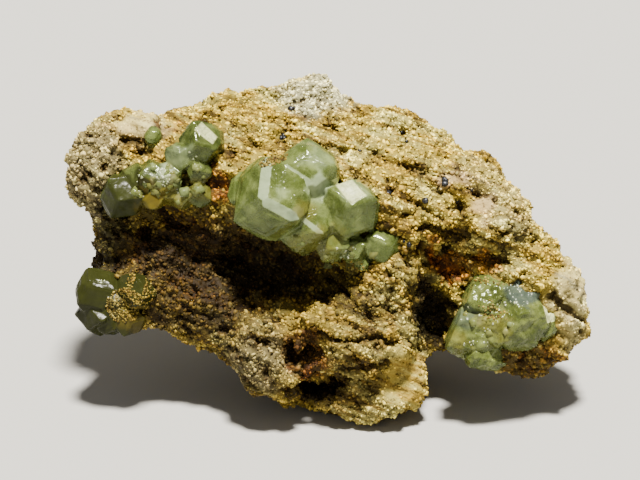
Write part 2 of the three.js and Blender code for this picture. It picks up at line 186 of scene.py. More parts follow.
class NodeBook:
    """Writes the nodes of one material."""

    def __init__(self, name: str) -> None:
        """Start an empty material.

        Args:
            name: The material's name.
        """
        self.material = bpy.data.materials.new(name)
        self.material.use_nodes = True
        self.tree = self.material.node_tree
        self.tree.nodes.clear()
        self.out = self.tree.nodes.new("ShaderNodeOutputMaterial")
        self.place = self.node("ShaderNodeTexCoord").outputs["Object"]

    def node(
        self, kind: str, settings: dict | None = None, sockets: dict | None = None
    ) -> bpy.types.Node:
        """Add a node.

        Args:
            kind: The node's type.
            settings: Its own settings, set first.
            sockets: Values or links by input name or number.

        Returns:
            The new node.
        """
        made = self.tree.nodes.new(kind)
        for key, value in (settings or {}).items():
            setattr(made, key, value)
        for key, value in (sockets or {}).items():
            self.feed(made.inputs[key], value)
        return made

    def feed(self, socket: bpy.types.NodeSocket, value: object) -> None:
        """Set an input to a constant, or link a varying value to it.

        Args:
            socket: The input.
            value: A number, a colour, a socket or a wrapped value.
        """
        source = value.socket if isinstance(value, Value) else value
        if isinstance(source, bpy.types.NodeSocket):
            self.tree.links.new(source, socket)
        else:
            socket.default_value = source

    def noise(
        self,
        size: float,
        detail: float = 3,
        rough: float = 0.55,
        warp: float = 0,
        place: bpy.types.NodeSocket | None = None,
    ) -> Value:
        """Add cloudy noise.

        Args:
            size: Size of its patches in millimetres.
            detail: Octaves of finer noise.
            rough: Strength of the finer octaves.
            warp: How strongly it is distorted.
            place: The coordinates it is read at, or none for the object's own.

        Returns:
            The noise, from 0 to 1.
        """
        sockets = {"Vector": place or self.place, "Scale": 1 / (size * MM)}
        sockets.update({"Detail": detail, "Roughness": rough, "Distortion": warp})
        return Value(self, self.node("ShaderNodeTexNoise", None, sockets).outputs[0])

    def cells(self, size: float) -> Value:
        """Add cells of the given size in millimetres: the distance from each cell's middle."""
        sockets = {"Vector": self.place, "Scale": 1 / (size * MM)}
        return Value(self, self.node("ShaderNodeTexVoronoi", None, sockets).outputs["Distance"])

    def contours(self, size: float, count: int) -> Value:
        """Add growth lines: steps that follow the levels of cloudy noise.

        Args:
            size: Size of the noise's patches in millimetres.
            count: How many levels there are.

        Returns:
            A value that rises from 0 to 1 across each level.
        """
        level = self.noise(size, 1, 0.3) * count
        fraction = self.node("ShaderNodeMath", {"operation": "FRACT"}, {0: level})
        return Value(self, fraction.outputs[0])

    def pressed(self, way: tuple, times: float) -> bpy.types.NodeSocket:
        """Press the coordinates along one direction, so that noise read there lies in layers.

        Args:
            way: Unit direction across the layers.
            times: How many times thinner than wide the layers are.

        Returns:
            The pressed coordinates.
        """
        kind = "ShaderNodeVectorMath"
        along = self.node(kind, {"operation": "DOT_PRODUCT"}, {0: self.place, 1: way})
        sockets = {0: way, "Scale": Value(self, along.outputs["Value"]) * (times - 1)}
        extra = self.node(kind, {"operation": "SCALE"}, sockets).outputs[0]
        return self.node(kind, {"operation": "ADD"}, {0: self.place, 1: extra}).outputs[0]

    def carried(self, name: str) -> Value:
        """Read a number that the mesh carries under the given name."""
        attribute = self.node("ShaderNodeAttribute", {"attribute_name": name})
        return Value(self, attribute.outputs["Fac"])

    def blend(
        self, mask: object, first: object, second: object, mode: str = "MIX"
    ) -> bpy.types.NodeSocket:
        """Blend two colours.

        Args:
            mask: 0 for the first colour, 1 for the second.
            first: Colour or socket.
            second: Colour or socket.
            mode: The way they blend.

        Returns:
            The blended colour's socket.
        """
        settings = {"data_type": "RGBA", "blend_type": mode}
        return self.node("ShaderNodeMix", settings, {0: mask, 6: first, 7: second}).outputs[2]

    def bump(
        self,
        height: Value,
        strength: float,
        depth: float,
        below: bpy.types.NodeSocket | None = None,
    ) -> bpy.types.NodeSocket:
        """Turn a height into a bumped normal.

        Args:
            height: Height from 0 to 1.
            strength: Share of the bump that shows.
            depth: Depth of the bump in millimetres.
            below: A normal to lay it over.

        Returns:
            The normal's socket.
        """
        sockets = {"Height": height, "Strength": strength, "Distance": depth * MM}
        if below is not None:
            sockets["Normal"] = below
        return self.node("ShaderNodeBump", None, sockets).outputs["Normal"]

    def surface(self, shader: bpy.types.Node) -> bpy.types.Material:
        """Use a shader for the surface and return the material."""
        self.tree.links.new(shader.outputs[0], self.out.inputs["Surface"])
        return self.material


@dataclass(frozen=True)
class MatrixFinish:
    """Sugary, iron-stained rock that reads the stains and the painted shade its mesh carries; sizes
    in millimetres.
    """

    name: str
    pale: tuple = tint(252, 238, 134)
    tan: tuple = tint(236, 208, 82)
    ochre: tuple = tint(208, 168, 46)
    brown: tuple = tint(80, 58, 20)
    earth: tuple = tint(128, 102, 48)
    rust: tuple = tint(190, 108, 26)
    deep_rust: tuple = tint(92, 38, 10)
    black: tuple = tint(30, 18, 6)
    pink: tuple = tint(214, 180, 138)
    white: tuple = tint(255, 250, 196)
    # Below 1 this darkens the finish as painted shade in the gaps between the grains that lie on
    # the rock.
    shade: float = 1.0
    grit: float = 1.0
    gloss: float = 0.12
    patch_size: float = 5.5
    warm_size: float = 3.1
    layer_size: float = 4.2
    layer_thinness: float = 4.5
    earth_size: float = 1.3
    speckle_size: float = 0.4
    rust_size: float = 0.8
    rust_edge: float = 1.1
    grit_size: float = 0.22
    crumb_size: float = 0.34

    def material(self) -> bpy.types.Material:
        """Write the material's nodes.

        Returns:
            The finished material.
        """
        book = NodeBook(self.name)
        tone = book.carried("tone")
        # Brightness is the grain's own tone times the factor of painted shade between the grains,
        # lifted on the smooth, bare patches where no grains lie.
        level = (tone * 1.05 + 0.12) * (book.carried("smooth") * 0.9 + 1) * self.shade
        grey = book.node("ShaderNodeCombineColor", None, {0: level, 1: level, 2: level}).outputs[0]
        colour = book.blend(1.0, self.stained(book, self.fresh(book)), grey, "MULTIPLY")
        normal = book.bump(book.noise(self.grit_size, 4, 0.7), 0.6 * self.grit, 0.12)
        normal = book.bump(book.cells(self.crumb_size), 0.5 * self.grit, 0.16, normal)
        sockets = {"Base Color": colour, "Roughness": tone * 0.3 + 0.5, "Normal": normal}
        sockets["Specular IOR Level"] = self.gloss
        return book.surface(book.node("ShaderNodeBsdfPrincipled", None, sockets))

    def fresh(self, book: NodeBook) -> bpy.types.NodeSocket:
        """Mix the rock's own colours: pale and tan patches with ochre and brown layers.

        Args:
            book: Writer of the material's nodes.

        Returns:
            The colour's socket.
        """
        patches = book.noise(self.patch_size, 4, 0.6).rising(0.42, 0.62)
        colour = book.blend(patches, self.tan, self.pale)
        warm = book.noise(self.warm_size, 5, 0.65, 0.4).rising(0.52, 0.7)
        colour = book.blend(warm * 0.8, colour, self.ochre)
        pressed = book.pressed(BEDDING, self.layer_thinness)
        layers = book.noise(self.layer_size, 5, 0.62, 0.3, pressed)
        colour = book.blend(layers.rising(0.46, 0.56) * 0.75, colour, self.ochre)
        return book.blend(layers.rising(0.55, 0.63) * 0.75, colour, self.brown)

    def stained(self, book: NodeBook, colour: bpy.types.NodeSocket) -> bpy.types.NodeSocket:
        """Lay the stains over the rock's own colours, darken what lies low as painted shade, and
        lay the painted shade of recesses and cracks on top.

        Args:
            book: Writer of the material's nodes.
            colour: The rock's own colour.

        Returns:
            The stained colour's socket.
        """
        colour = book.blend(book.carried("pale") * 0.85, colour, self.white)
        colour = book.blend(book.carried("pink") * 0.8, colour, self.pink)
        earthy = book.carried("earth") * (book.noise(self.earth_size, 4, 0.7) * 0.7 + 0.4)
        colour = book.blend(earthy, colour, self.earth)
        speckle = book.noise(self.speckle_size, 3, 0.7).rising(0.54, 0.66)
        colour = book.blend(speckle * 0.7, colour, self.brown)
        # Painted shade in hollows: what lies low in the relief is darkened towards brown.
        low = (1 - book.carried("relief").rising(0.03, 0.45)) * 0.88
        colour = book.blend(low, colour, self.brown)
        depth = book.noise(self.rust_size, 4, 0.7).rising(0.4, 0.6)
        rust = book.blend(depth, self.rust, self.deep_rust)
        rusty = book.carried("rust") * (book.noise(self.rust_edge, 4, 0.7) + 0.4)
        colour = book.blend(rusty.rising(0.3, 0.9) * 0.8, colour, rust)
        # Painted shade: near-black laid where shade falls, in the recess under the clusters, in
        # cracks and in holes.
        return book.blend(book.carried("gloom") * 0.93, colour, self.black)


@dataclass(frozen=True)
class GarnetFinish:
    """Clear green garnet with milky veils, with frosting painted pale as a sheen where its mesh
    says so, and painted shade and painted highlights on its patches.
    """

    name: str
    body: tuple = tint(234, 240, 208)
    milk: tuple = tint(76, 88, 38)
    pale_milk: tuple = tint(112, 124, 68)
    # Pale colour of the frosting, which also stands in for the sheen of the faces as painted light.
    frost_and_sheen: tuple = tint(128, 141, 110)
    blue: tuple = tint(58, 68, 62)
    amber: tuple = tint(96, 82, 22)
    # Colour of the painted shade that the deep patches lay on crystals lying in shade.
    dark: tuple = tint(32, 34, 12)
    # Near-white colour of the painted highlight on faces that mirror the light.
    painted_highlight: tuple = tint(200, 203, 152)
    sheen: tuple = (0.42, 0.5, 0.3, 1.0)
    absorbed: tuple = tint(178, 188, 92)
    depth: float = 520.0
    cloud: float = 0.55
    roughness: float = 0.05
    etch: float = 0.25
    etch_size: float = 0.5
    haze_size: float = 1.6
    milk_size: float = 1.4
    frost_and_sheen_size: float = 0.7
    streak_size: float = 0.6
    veil_size: float = 2.3
    line_size: float = 1.9
    line_count: int = 16

    def material(self) -> bpy.types.Material:
        """Write the material's nodes.

        Returns:
            The finished material.
        """
        book = NodeBook(self.name)
        lines = book.contours(self.line_size, self.line_count)
        normal = book.bump(book.noise(self.etch_size, 4, 0.6), self.etch, 0.08)
        normal = book.bump(lines, 0.3, 0.05, normal)
        mixed = book.node("ShaderNodeMixShader", None, {0: self.veil(book)})
        book.tree.links.new(self.glass(book, normal).outputs[0], mixed.inputs[1])
        book.tree.links.new(self.cloudy(book, normal, lines).outputs[0], mixed.inputs[2])
        inside = {"Color": self.absorbed, "Density": self.depth}
        volume = book.node("ShaderNodeVolumeAbsorption", None, inside)
        book.tree.links.new(volume.outputs[0], book.out.inputs["Volume"])
        return book.surface(mixed)

    def glass(self, book: NodeBook, normal: bpy.types.NodeSocket) -> bpy.types.Node:
        """Make the see-through part of the crystal.

        Args:
            book: Writer of the material's nodes.
            normal: The bumped normal.

        Returns:
            The shader.
        """
        sockets = {"Base Color": self.body, "IOR": GARNET_IOR, "Transmission Weight": 1.0}
        sockets.update({"Normal": normal, "Specular Tint": self.sheen})
        sockets["Roughness"] = book.noise(self.haze_size, 3) * 0.14 + self.roughness
        return book.node("ShaderNodeBsdfPrincipled", None, sockets)

    def cloudy(self, book: NodeBook, normal: bpy.types.NodeSocket, lines: Value) -> bpy.types.Node:
        """Make the milky part of the crystal.

        Args:
            book: Writer of the material's nodes.
            normal: The bumped normal.
            lines: The growth lines.

        Returns:
            The shader.
        """
        sockets = {"Base Color": self.tones(book, lines), "IOR": GARNET_IOR, "Normal": normal}
        sockets["Specular IOR Level"] = 0.04
        sockets["Roughness"] = book.carried("frost_and_sheen") * 0.25 + 0.25
        return book.node("ShaderNodeBsdfPrincipled", None, sockets)

    def tones(self, book: NodeBook, lines: Value) -> bpy.types.NodeSocket:
        """Mix the milk's colours, with the patches that the mesh carries.

        Args:
            book: Writer of the material's nodes.
            lines: The growth lines.

        Returns:
            The colour's socket.
        """
        clouds = book.noise(self.milk_size, 4, 0.6).rising(0.4, 0.65)
        colour = book.blend(clouds, self.milk, self.pale_milk)
        colour = book.blend((1 - lines.rising(0.0, 0.35)) * 0.3, colour, self.pale_milk)
        # Deep patches: painted shade on crystals that lie in shade.
        colour = book.blend(book.carried("deep") * 0.9, colour, self.dark)
        # Frosting, painted pale: a sheen on the narrow edge faces and glints on the glittering
        # drusy spots.
        frost_and_sheen_mask = book.carried("frost_and_sheen") * (book.noise(self.frost_and_sheen_size, 4, 0.7) * 0.7 + 0.45)
        colour = book.blend(frost_and_sheen_mask, colour, self.frost_and_sheen)
        colour = book.blend(book.carried("blue"), colour, self.blue)
        colour = book.blend(book.carried("amber") * 0.8, colour, self.amber)
        # Painted highlight: streaked near-white on the faces that mirror the light.
        streaks = book.noise(self.streak_size, 5, 0.8, 1.5).rising(0.35, 0.6) * 0.65 + 0.25
        return book.blend(book.carried("painted_highlight") * streaks, colour, self.painted_highlight)

    def veil(self, book: NodeBook) -> Value:
        """Say how milky the crystal is from place to place.

        Args:
            book: Writer of the material's nodes.

        Returns:
            0 where it is clear and 1 where it is all milk.
        """
        veil = book.noise(self.veil_size, 4, 0.6).rising(0.25, 0.75) * 0.3 + (self.cloud - 0.15)
        # These patches turn milky so their colour shows: the frosting with its painted sheen, the
        # blue and amber zones, the painted shade of the deep patches and the painted highlight.
        shares = {"frost_and_sheen": 0.7, "blue": 0.4, "amber": 0.25, "deep": 0.8, "painted_highlight": 0.6}
        for name, share in shares.items():
            veil = veil + book.carried(name) * share
        return veil


@dataclass(frozen=True)
class SparkleFinish:
    """Bright crystal faces that catch the light."""

    name: str = "garnet_sparkle"
    body: tuple = tint(120, 128, 84)
    gloss: float = 0.8

    def material(self) -> bpy.types.Material:
        """Write the material's nodes.

        Returns:
            The finished material.
        """
        book = NodeBook(self.name)
        sockets = {"Base Color": self.body, "IOR": GARNET_IOR, "Specular IOR Level": self.gloss}
        sockets["Roughness"] = book.noise(0.8) * 0.2 + 0.22
        return book.surface(book.node("ShaderNodeBsdfPrincipled", None, sockets))


@dataclass(frozen=True)
class OxideFinish:
    """Black metallic oxide grain."""

    name: str = "black_oxide"
    dark: tuple = tint(20, 20, 22)
    light: tuple = tint(58, 60, 66)
    metal: float = 0.6

    def material(self) -> bpy.types.Material:
        """Write the material's nodes.

        Returns:
            The finished material.
        """
        book = NodeBook(self.name)
        colour = book.blend(book.noise(0.3).rising(0.4, 0.7), self.dark, self.light)
        sockets = {"Base Color": colour, "Metallic": self.metal}
        sockets["Roughness"] = book.noise(0.4) * 0.3 + 0.25
        return book.surface(book.node("ShaderNodeBsdfPrincipled", None, sockets))


@dataclass(frozen=True)
class FloorFinish:
    """Plain pale studio floor."""

    name: str = "studio_floor"
    colour: tuple = tint(160, 159, 156)
    roughness: float = 0.85

    def material(self) -> bpy.types.Material:
        """Write the material's nodes.

        Returns:
            The finished material.
        """
        book = NodeBook(self.name)
        sockets = {"Base Color": self.colour, "Roughness": self.roughness}
        return book.surface(book.node("ShaderNodeBsdfPrincipled", None, sockets))


class StainAndShadeKind(Enum):
    """What a stain does to the rock; one kind is painted shade instead of a stain."""

    # Painted shade where shade falls: recesses, the undersides of ledges, cracks and holes.
    GLOOM = "gloom"
    RUST = "rust"
    EARTH = "earth"
    PALE = "pale"
    PINK = "pink"
    SMOOTH = "smooth"


@dataclass(frozen=True)
class StainAndShadePatch:
    """A soft-edged patch of colour on the display face, in millimetres."""

    kind: StainAndShadeKind
    x: float
    y: float
    across: float
    up: float
    turn: float = 0.0
    strength: float = 1.0

    def cover(self, places: np.ndarray) -> np.ndarray:
        """Say how strongly the stain covers each place.

        Args:
            places: Points on the display face.

        Returns:
            A number from 0 to the stain's strength for each point.
        """
        turn = math.radians(self.turn)
        dx, dy = places[:, 0] - self.x, places[:, 1] - self.y
        along = (dx * math.cos(turn) + dy * math.sin(turn)) / self.across
        beside = (dy * math.cos(turn) - dx * math.sin(turn)) / self.up
        reach = np.sqrt(along**2 + beside**2)
        front = soft_step(places[:, 2], *STAIN_FRONT)
        return self.strength * front * (1 - soft_step(reach, *STAIN_EDGE))


STAIN_AND_SHADE_PLACES = {
    StainAndShadeKind.SMOOTH: (
        (-19.4, 13.4, 2.6, 1.5, 0, 0.9),
        (-16.4, 13.3, 1.4, 0.9, 0, 0.7),
        (8.4, -13.4, 2.6, 3.2, 0, 0.75),
        (26.2, -4.4, 2.2, 3.6, 10, 0.7),
        (24.8, -8.2, 1.6, 2.2, -40, 0.6),
        (16.0, 4.6, 1.4, 1.2, 0, 0.8),
        (14.0, 7.0, 1.4, 0.9, -20, 0.6),
    ),
    StainAndShadeKind.EARTH: (
        (-2.0, -12.0, 12.0, 7.0, 0, 0.7),
        (-15.0, -4.0, 12.0, 7.0, 0, 0.8),
        (-24.8, 8.6, 4.2, 5.4, 0, 0.6),
        (7.0, -3.0, 5.0, 7.0, -15, 0.45),
        (21.0, -10.5, 7.0, 4.5, -25, 0.7),
    ),
    # Painted shade: the recess under the clusters and the rock below it, the left column, the void
    # beside the right cluster, cavities, cracks, holes and the underside of the right lobe.
    StainAndShadeKind.GLOOM: (
        (-10.0, -1.2, 12.4, 4.4, -8, 0.95),
        (1.6, -4.0, 5.2, 2.3, -25, 0.8),
        (11.2, -6.8, 2.3, 4.6, 10, 1.0),
        (12.4, -1.2, 1.2, 0.5, -35, 0.5),
        (13.3, 1.8, 1.6, 0.7, -20, 0.5),
        (-14.2, -4.6, 8.2, 4.2, -14, 0.82),
        (-10.0, -8.6, 4.0, 2.0, -35, 0.5),
        (-2.4, -10.9, 2.2, 2.4, 0, 0.8),
        (-0.3, -14.7, 2.8, 1.1, 8, 0.95),
        (21.7, -12.4, 4.4, 2.2, -20, 0.6),
        (-22.8, 0.8, 2.8, 5.0, 0, 0.92),
        (-8.0, -12.5, 4.0, 3.6, 30, 0.4),
        (-15.7, 3.8, 7.5, 1.5, -4, 0.75),
        (-11.4, 7.0, 1.8, 1.0, 35, 0.55),
    ),
    StainAndShadeKind.RUST: (
        (12.8, -1.2, 2.8, 1.5, -30, 1.0),
        (16.6, -1.6, 2.6, 1.2, 5, 0.8),
        (-16.3, -5.2, 2.2, 2.4, 0, 0.5),
        (-2.2, -11.2, 2.8, 3.0, 0, 0.75),
        (21.5, -11.5, 5.0, 3.4, -15, 0.6),
        (-8.0, 2.4, 4.0, 2.0, 0, 0.6),
        (-11.2, 7.0, 2.2, 1.5, 35, 0.9),
        (-16.3, 13.1, 2.2, 1.4, 0, 0.55),
        (-20.2, 13.3, 2.4, 1.4, 0, 0.4),
        (-2.1, 13.9, 2.4, 0.6, -25, 0.5),
        (-10.0, -1.2, 14.0, 6.4, -8, 0.6),
    ),
    StainAndShadeKind.PALE: (
        (-1.0, 16.8, 4.4, 2.4, 0, 1.0),
        (26.0, -5.2, 2.2, 4.2, 0, 0.5),
        (-24.8, 8.6, 3.6, 5.2, 0, 0.6),
        (-19.2, 13.2, 2.8, 1.7, 0, 0.45),
        (-7.0, -11.4, 3.0, 3.4, 20, 0.5),
        (18.0, 6.0, 5.0, 2.4, -45, 0.25),
    ),
    StainAndShadeKind.PINK: (
        (14.0, 7.2, 1.8, 1.2, -20, 0.8),
        (16.2, 4.6, 1.5, 1.3, 0, 0.8),
        (-19.8, 12.0, 3.0, 1.8, 0, 0.35),
    ),
}
STAINS_AND_SHADE = tuple(StainAndShadePatch(kind, *row) for kind, rows in STAIN_AND_SHADE_PLACES.items() for row in rows)


@dataclass(frozen=True)
class Seam:
    """A crack or a crest that runs along a line on the display face, in millimetres."""

    line: tuple[tuple[float, float], ...]
    width: float
    height: float

    def heights(self, places: np.ndarray) -> np.ndarray:
        """Work out how far the seam moves the rock.

        Args:
            places: Points on the display face.

        Returns:
            A height for each point, below zero in a crack.
        """
        away = np.full(len(places), np.inf)
        for start, end in itertools.pairwise(np.array(self.line)):
            along = end - start
            share = np.clip((places[:, :2] - start) @ along / (along @ along), 0, 1)
            nearest = start + share[:, None] * along
            away = np.minimum(away, np.linalg.norm(places[:, :2] - nearest, axis=1))
        front = soft_step(places[:, 2], *SEAM_FRONT)
        return self.height * front * (1 - soft_step(away, self.width * 0.3, self.width))


SEAMS = (
    Seam(((-2.6, -9.3), (-2.5, -11.2), (-3.0, -12.8), (-4.4, -13.6)), 0.5, 1.2),
    Seam(((-0.6, -9.0), (2.2, -9.4), (5.6, -9.2), (7.6, -9.7)), 0.55, -0.9),
    Seam(((1.6, -12.8), (4.2, -12.4), (6.4, -11.8)), 0.6, -1.0),
    Seam(((-2.3, -14.4), (-0.4, -14.6), (1.4, -14.2)), 0.7, -1.3),
    Seam(((-0.2, -16.0), (1.4, -15.2), (2.6, -14.6)), 0.35, 0.6),
    Seam(((-6.9, -9.2), (-6.0, -9.5)), 0.6, -1.2),
    Seam(((10.9, -0.2), (12.4, -1.4), (13.8, -2.4)), 0.6, -0.5),
    Seam(((13.4, -0.6), (15.0, -1.4), (16.2, -2.0)), 0.8, 0.9),
    Seam(((24.0, -5.0), (25.6, -6.4), (27.2, -7.2)), 0.7, -0.9),
    Seam(((10.6, 2.2), (12.6, 1.6), (14.6, 1.6)), 0.8, -0.9),
    Seam(((-18.0, 12.0), (-17.6, 13.2), (-17.9, 14.4)), 0.5, -0.8),
    Seam(((-21.2, 11.8), (-19.4, 11.4), (-17.6, 11.9)), 0.5, -0.6),
    Seam(((-12.2, -2.0), (-11.4, 0.6), (-11.2, 3.0)), 1.1, 0.9),
    Seam(((4.0, 11.0), (8.4, 8.8), (12.4, 6.0)), 0.45, -0.45),
    Seam(((6.0, 6.8), (9.6, 4.8), (12.0, 3.0)), 0.45, -0.5),
    Seam(((-6.6, 14.0), (-3.2, 12.4), (0.0, 11.6)), 0.4, -0.4),
)


def merged_copy(source: bpy.types.Object) -> bmesh.types.BMesh:
    """Copy a CAD node's mesh and merge its loose triangles.

    Args:
        source: The node's object, which stays as it is.

    Returns:
        The copy, still in metres and in place.
    """
    shape = bmesh.new()
    shape.from_mesh(source.data)
    bmesh.ops.remove_doubles(shape, verts=shape.verts, dist=MERGE_REACH * MM)
    return shape


def linked(name: str, content: bpy.types.ID) -> bpy.types.Object:
    """Make an object and link it to the scene.

    Args:
        name: The object's name.
        content: Its mesh, light or camera.

    Returns:
        The object.
    """
    holder = bpy.data.objects.new(name, content)
    bpy.context.scene.collection.objects.link(holder)
    return holder


def piece_from(name: str, shape: bmesh.types.BMesh) -> bpy.types.Object:
    """Make an object of a finished shape and free the shape.

    Args:
        name: The piece's name.
        shape: The shape to use up.

    Returns:
        The object, linked to the scene.
    """
    mesh = bpy.data.meshes.new(name)
    shape.to_mesh(mesh)
    shape.free()
    return linked(name, mesh)


def voxelled(piece: bpy.types.Object, size: float) -> None:
    """Remesh a piece into even quads.

    Args:
        piece: The piece to change.
        size: Side of a quad in millimetres.
    """
    remesh = piece.modifiers.new("even", "REMESH")
    remesh.mode = "VOXEL"
    remesh.voxel_size = size * MM
    graph = bpy.context.evaluated_depsgraph_get()
    mesh = bpy.data.meshes.new_from_object(piece.evaluated_get(graph))
    piece.modifiers.clear()
    piece.data = mesh


def carry(mesh: bpy.types.Mesh, name: str, values: np.ndarray) -> None:
    """Store one number for each of a mesh's points under a name."""
    layer = mesh.attributes.new(name, "FLOAT", "POINT")
    layer.data.foreach_set("value", values.astype(np.float32))


def points_of(mesh: bpy.types.Mesh, what: str = "co") -> np.ndarray:
    """Read a mesh's points or their normals.

    Args:
        mesh: The mesh.
        what: What to read of each point: co or normal.

    Returns:
        An array with one point a row.
    """
    flat = np.empty(len(mesh.vertices) * 3, dtype=np.float32)
    mesh.vertices.foreach_get(what, flat)
    return flat.reshape(-1, 3).astype(float)


def near_piece(points: np.ndarray, piece: bpy.types.Object, reach: float) -> np.ndarray:
    """Say which points lie in a piece's box or close to it.

    Args:
        points: Points in metres, one a row.
        piece: The piece.
        reach: How far outside the box counts as close, in metres.

    Returns:
        True for each point that does.
    """
    own = points_of(piece.data)
    low, high = own.min(axis=0) - reach, own.max(axis=0) + reach
    return np.all((points > low) & (points < high), axis=1)


def joined(name: str, corners: np.ndarray, sides: np.ndarray) -> bpy.types.Mesh:
    """Join many small copies in one mesh.

    Args:
        name: The mesh's name.
        corners: Corners of each copy, by copy and corner.
        sides: Triangles of each copy, by copy and triangle.

    Returns:
        The mesh.
    """
    offsets = np.arange(len(corners)) * corners.shape[1]
    faces = (sides + offsets[:, None, None]).reshape(-1, 3).astype(np.int32)
    mesh = bpy.data.meshes.new(name)
    mesh.vertices.add(corners.shape[0] * corners.shape[1])
    mesh.vertices.foreach_set("co", corners.ravel())
    mesh.loops.add(faces.size)
    mesh.loops.foreach_set("vertex_index", faces.ravel())
    mesh.polygons.add(len(faces))
    mesh.polygons.foreach_set("loop_start", np.arange(0, faces.size, 3, dtype=np.int32))
    mesh.update(calc_edges=True)
    mesh.validate()
    return mesh


def random_turns(rng: np.random.Generator, count: int) -> np.ndarray:
    """Make random rotations.

    Args:
        rng: Source of the random choices.
        count: How many to make.

    Returns:
        One rotation matrix for each.
    """
    q = rng.normal(size=(count, 4))
    w, x, y, z = (q / np.linalg.norm(q, axis=1, keepdims=True)).T
    rows = [
        [1 - 2 * (y * y + z * z), 2 * (x * y - z * w), 2 * (x * z + y * w)],
        [2 * (x * y + z * w), 1 - 2 * (x * x + z * z), 2 * (y * z - x * w)],
        [2 * (x * z - y * w), 2 * (y * z + x * w), 1 - 2 * (x * x + y * y)],
    ]
    return np.array(rows).transpose(2, 0, 1)


def turns_to_light(rng: np.random.Generator, count: int, wobble: float) -> np.ndarray:
    """Turn crystals that grew side by side, so that one face of each mirrors the key light.

    Args:
        rng: Source of the random choices.
        count: How many turns to make.
        wobble: How far each may stray, in radians.

    Returns:
        One rotation matrix for each.
    """
    base = Vector((1, 1, 0)).rotation_difference(KEY_MIRROR).to_matrix()
    turns = []
    for spin, *stray in zip(rng.uniform(0, 2 * math.pi, count), *rng.normal(0, wobble, (3, count))):
        wobbled = [Matrix.Rotation(angle, 3, axis) for angle, axis in zip(stray, "XYZ")]
        strayed = wobbled[0] @ wobbled[1] @ wobbled[2]
        turns.append(strayed @ Matrix.Rotation(spin, 3, KEY_MIRROR) @ base)
    return np.array(turns)


class Habit(Enum):
    """The direction of a crystal that faces out of the display face before its turn."""

    CORNER = ((-1, 1, 0), (-1, -1, 2), (1, 1, 1))
    FACE = ((1, -1, 0), (0, 0, -1), (1, 1, 0))


@dataclass(frozen=True)
class Banded:
    """A crystal whose edges are cut by narrow faces with frosting, painted pale as a sheen."""

    habit: Habit
    at: tuple[float, float, float]
    turn: tuple[float, float, float]
    reach: float
    bright: tuple[tuple[float, float, float], ...]

    def directions(self) -> list[Vector]:
        """Work out which way the narrow faces with frosting and painted sheen look.

        Returns:
            The unit directions, in the world, of the narrow faces that get frosting and painted
            sheen.
        """
        shown = Matrix([Vector(row).normalized() for row in self.habit.value])
        turns = [Matrix.Rotation(math.radians(a), 3, n) for a, n in zip(self.turn, "XYZ")]
        whole = FACE_TURN @ turns[0] @ turns[1] @ turns[2] @ shown
        found = []
        for order in ((2, 1, 1), (1, 2, 1), (1, 1, 2)):
            for signs in itertools.product((1, -1), repeat=3):
                found.append(whole @ Vector([o * s for o, s in zip(order, signs)]).normalized())
        wanted = [FACE_TURN @ Vector(way).normalized() for way in self.bright]
        return [max(found, key=lambda one: one.dot(way)) for way in wanted]


@dataclass(frozen=True)
class Growth:
    """How a cluster's surface grew: its steps, its rounding and its etching, in millimetres."""

    voxel: float = 0.1
    edge: float = 0.1
    step: float = 0.12
    contour: float = 0.07
    contour_size: float = 1.7
    etching: float = 0.02
    etching_size: float = 0.5
    smoothing: int = 1
    levels: int = 5  # contours to one unit of the noise
    step_range: tuple[float, float] = (0.5, 1.2)  # shares of the step
    ledge_range: tuple[float, float] = (0.14, 0.4)  # shares of the root of the face's area
    second_step: float = 0.6  # chance of one more step
    second_range: tuple[float, float] = (0.5, 0.9)  # shares of the first ledge


@dataclass(frozen=True)
class Patch:
    """A round patch of one cluster that carries a finish of its own, on the display face; some are
    painted shade, and some paint glints or sheen with frosting.
    """

    name: str
    at: tuple[float, float, float]
    reach: float
    strength: float = 1.0


@dataclass(frozen=True)
class Facet:
    """A flat face of one crystal, levelled and carrying a painted highlight, by its corners on the
    display face, anticlockwise.
    """

    name: str
    corners: tuple[tuple[float, float], ...]
    depth: float
    strength: float = 1.0
    edge: float = 0.06

    def cover(self, places: np.ndarray) -> np.ndarray:
        """Say how far each point belongs to the facet.

        Args:
            places: Points on the display face.

        Returns:
            1 inside the facet and 0 outside, with a narrow edge between.
        """
        inside = np.full(len(places), np.inf)
        corners = np.array(self.corners)
        for start, end in zip(corners, np.roll(corners, -1, axis=0)):
            along = (end - start) / np.linalg.norm(end - start)
            offset = places[:, :2] - start
            inside = np.minimum(inside, along[0] * offset[:, 1] - along[1] * offset[:, 0])
        return soft_step(inside, -self.edge, self.edge) * (places[:, 2] > self.depth)


@dataclass(frozen=True)
class Cut:
    """A plane that trims a cluster, through a point of the display face and looking outward."""

    at: tuple[float, float, float]
    way: tuple[float, float, float]


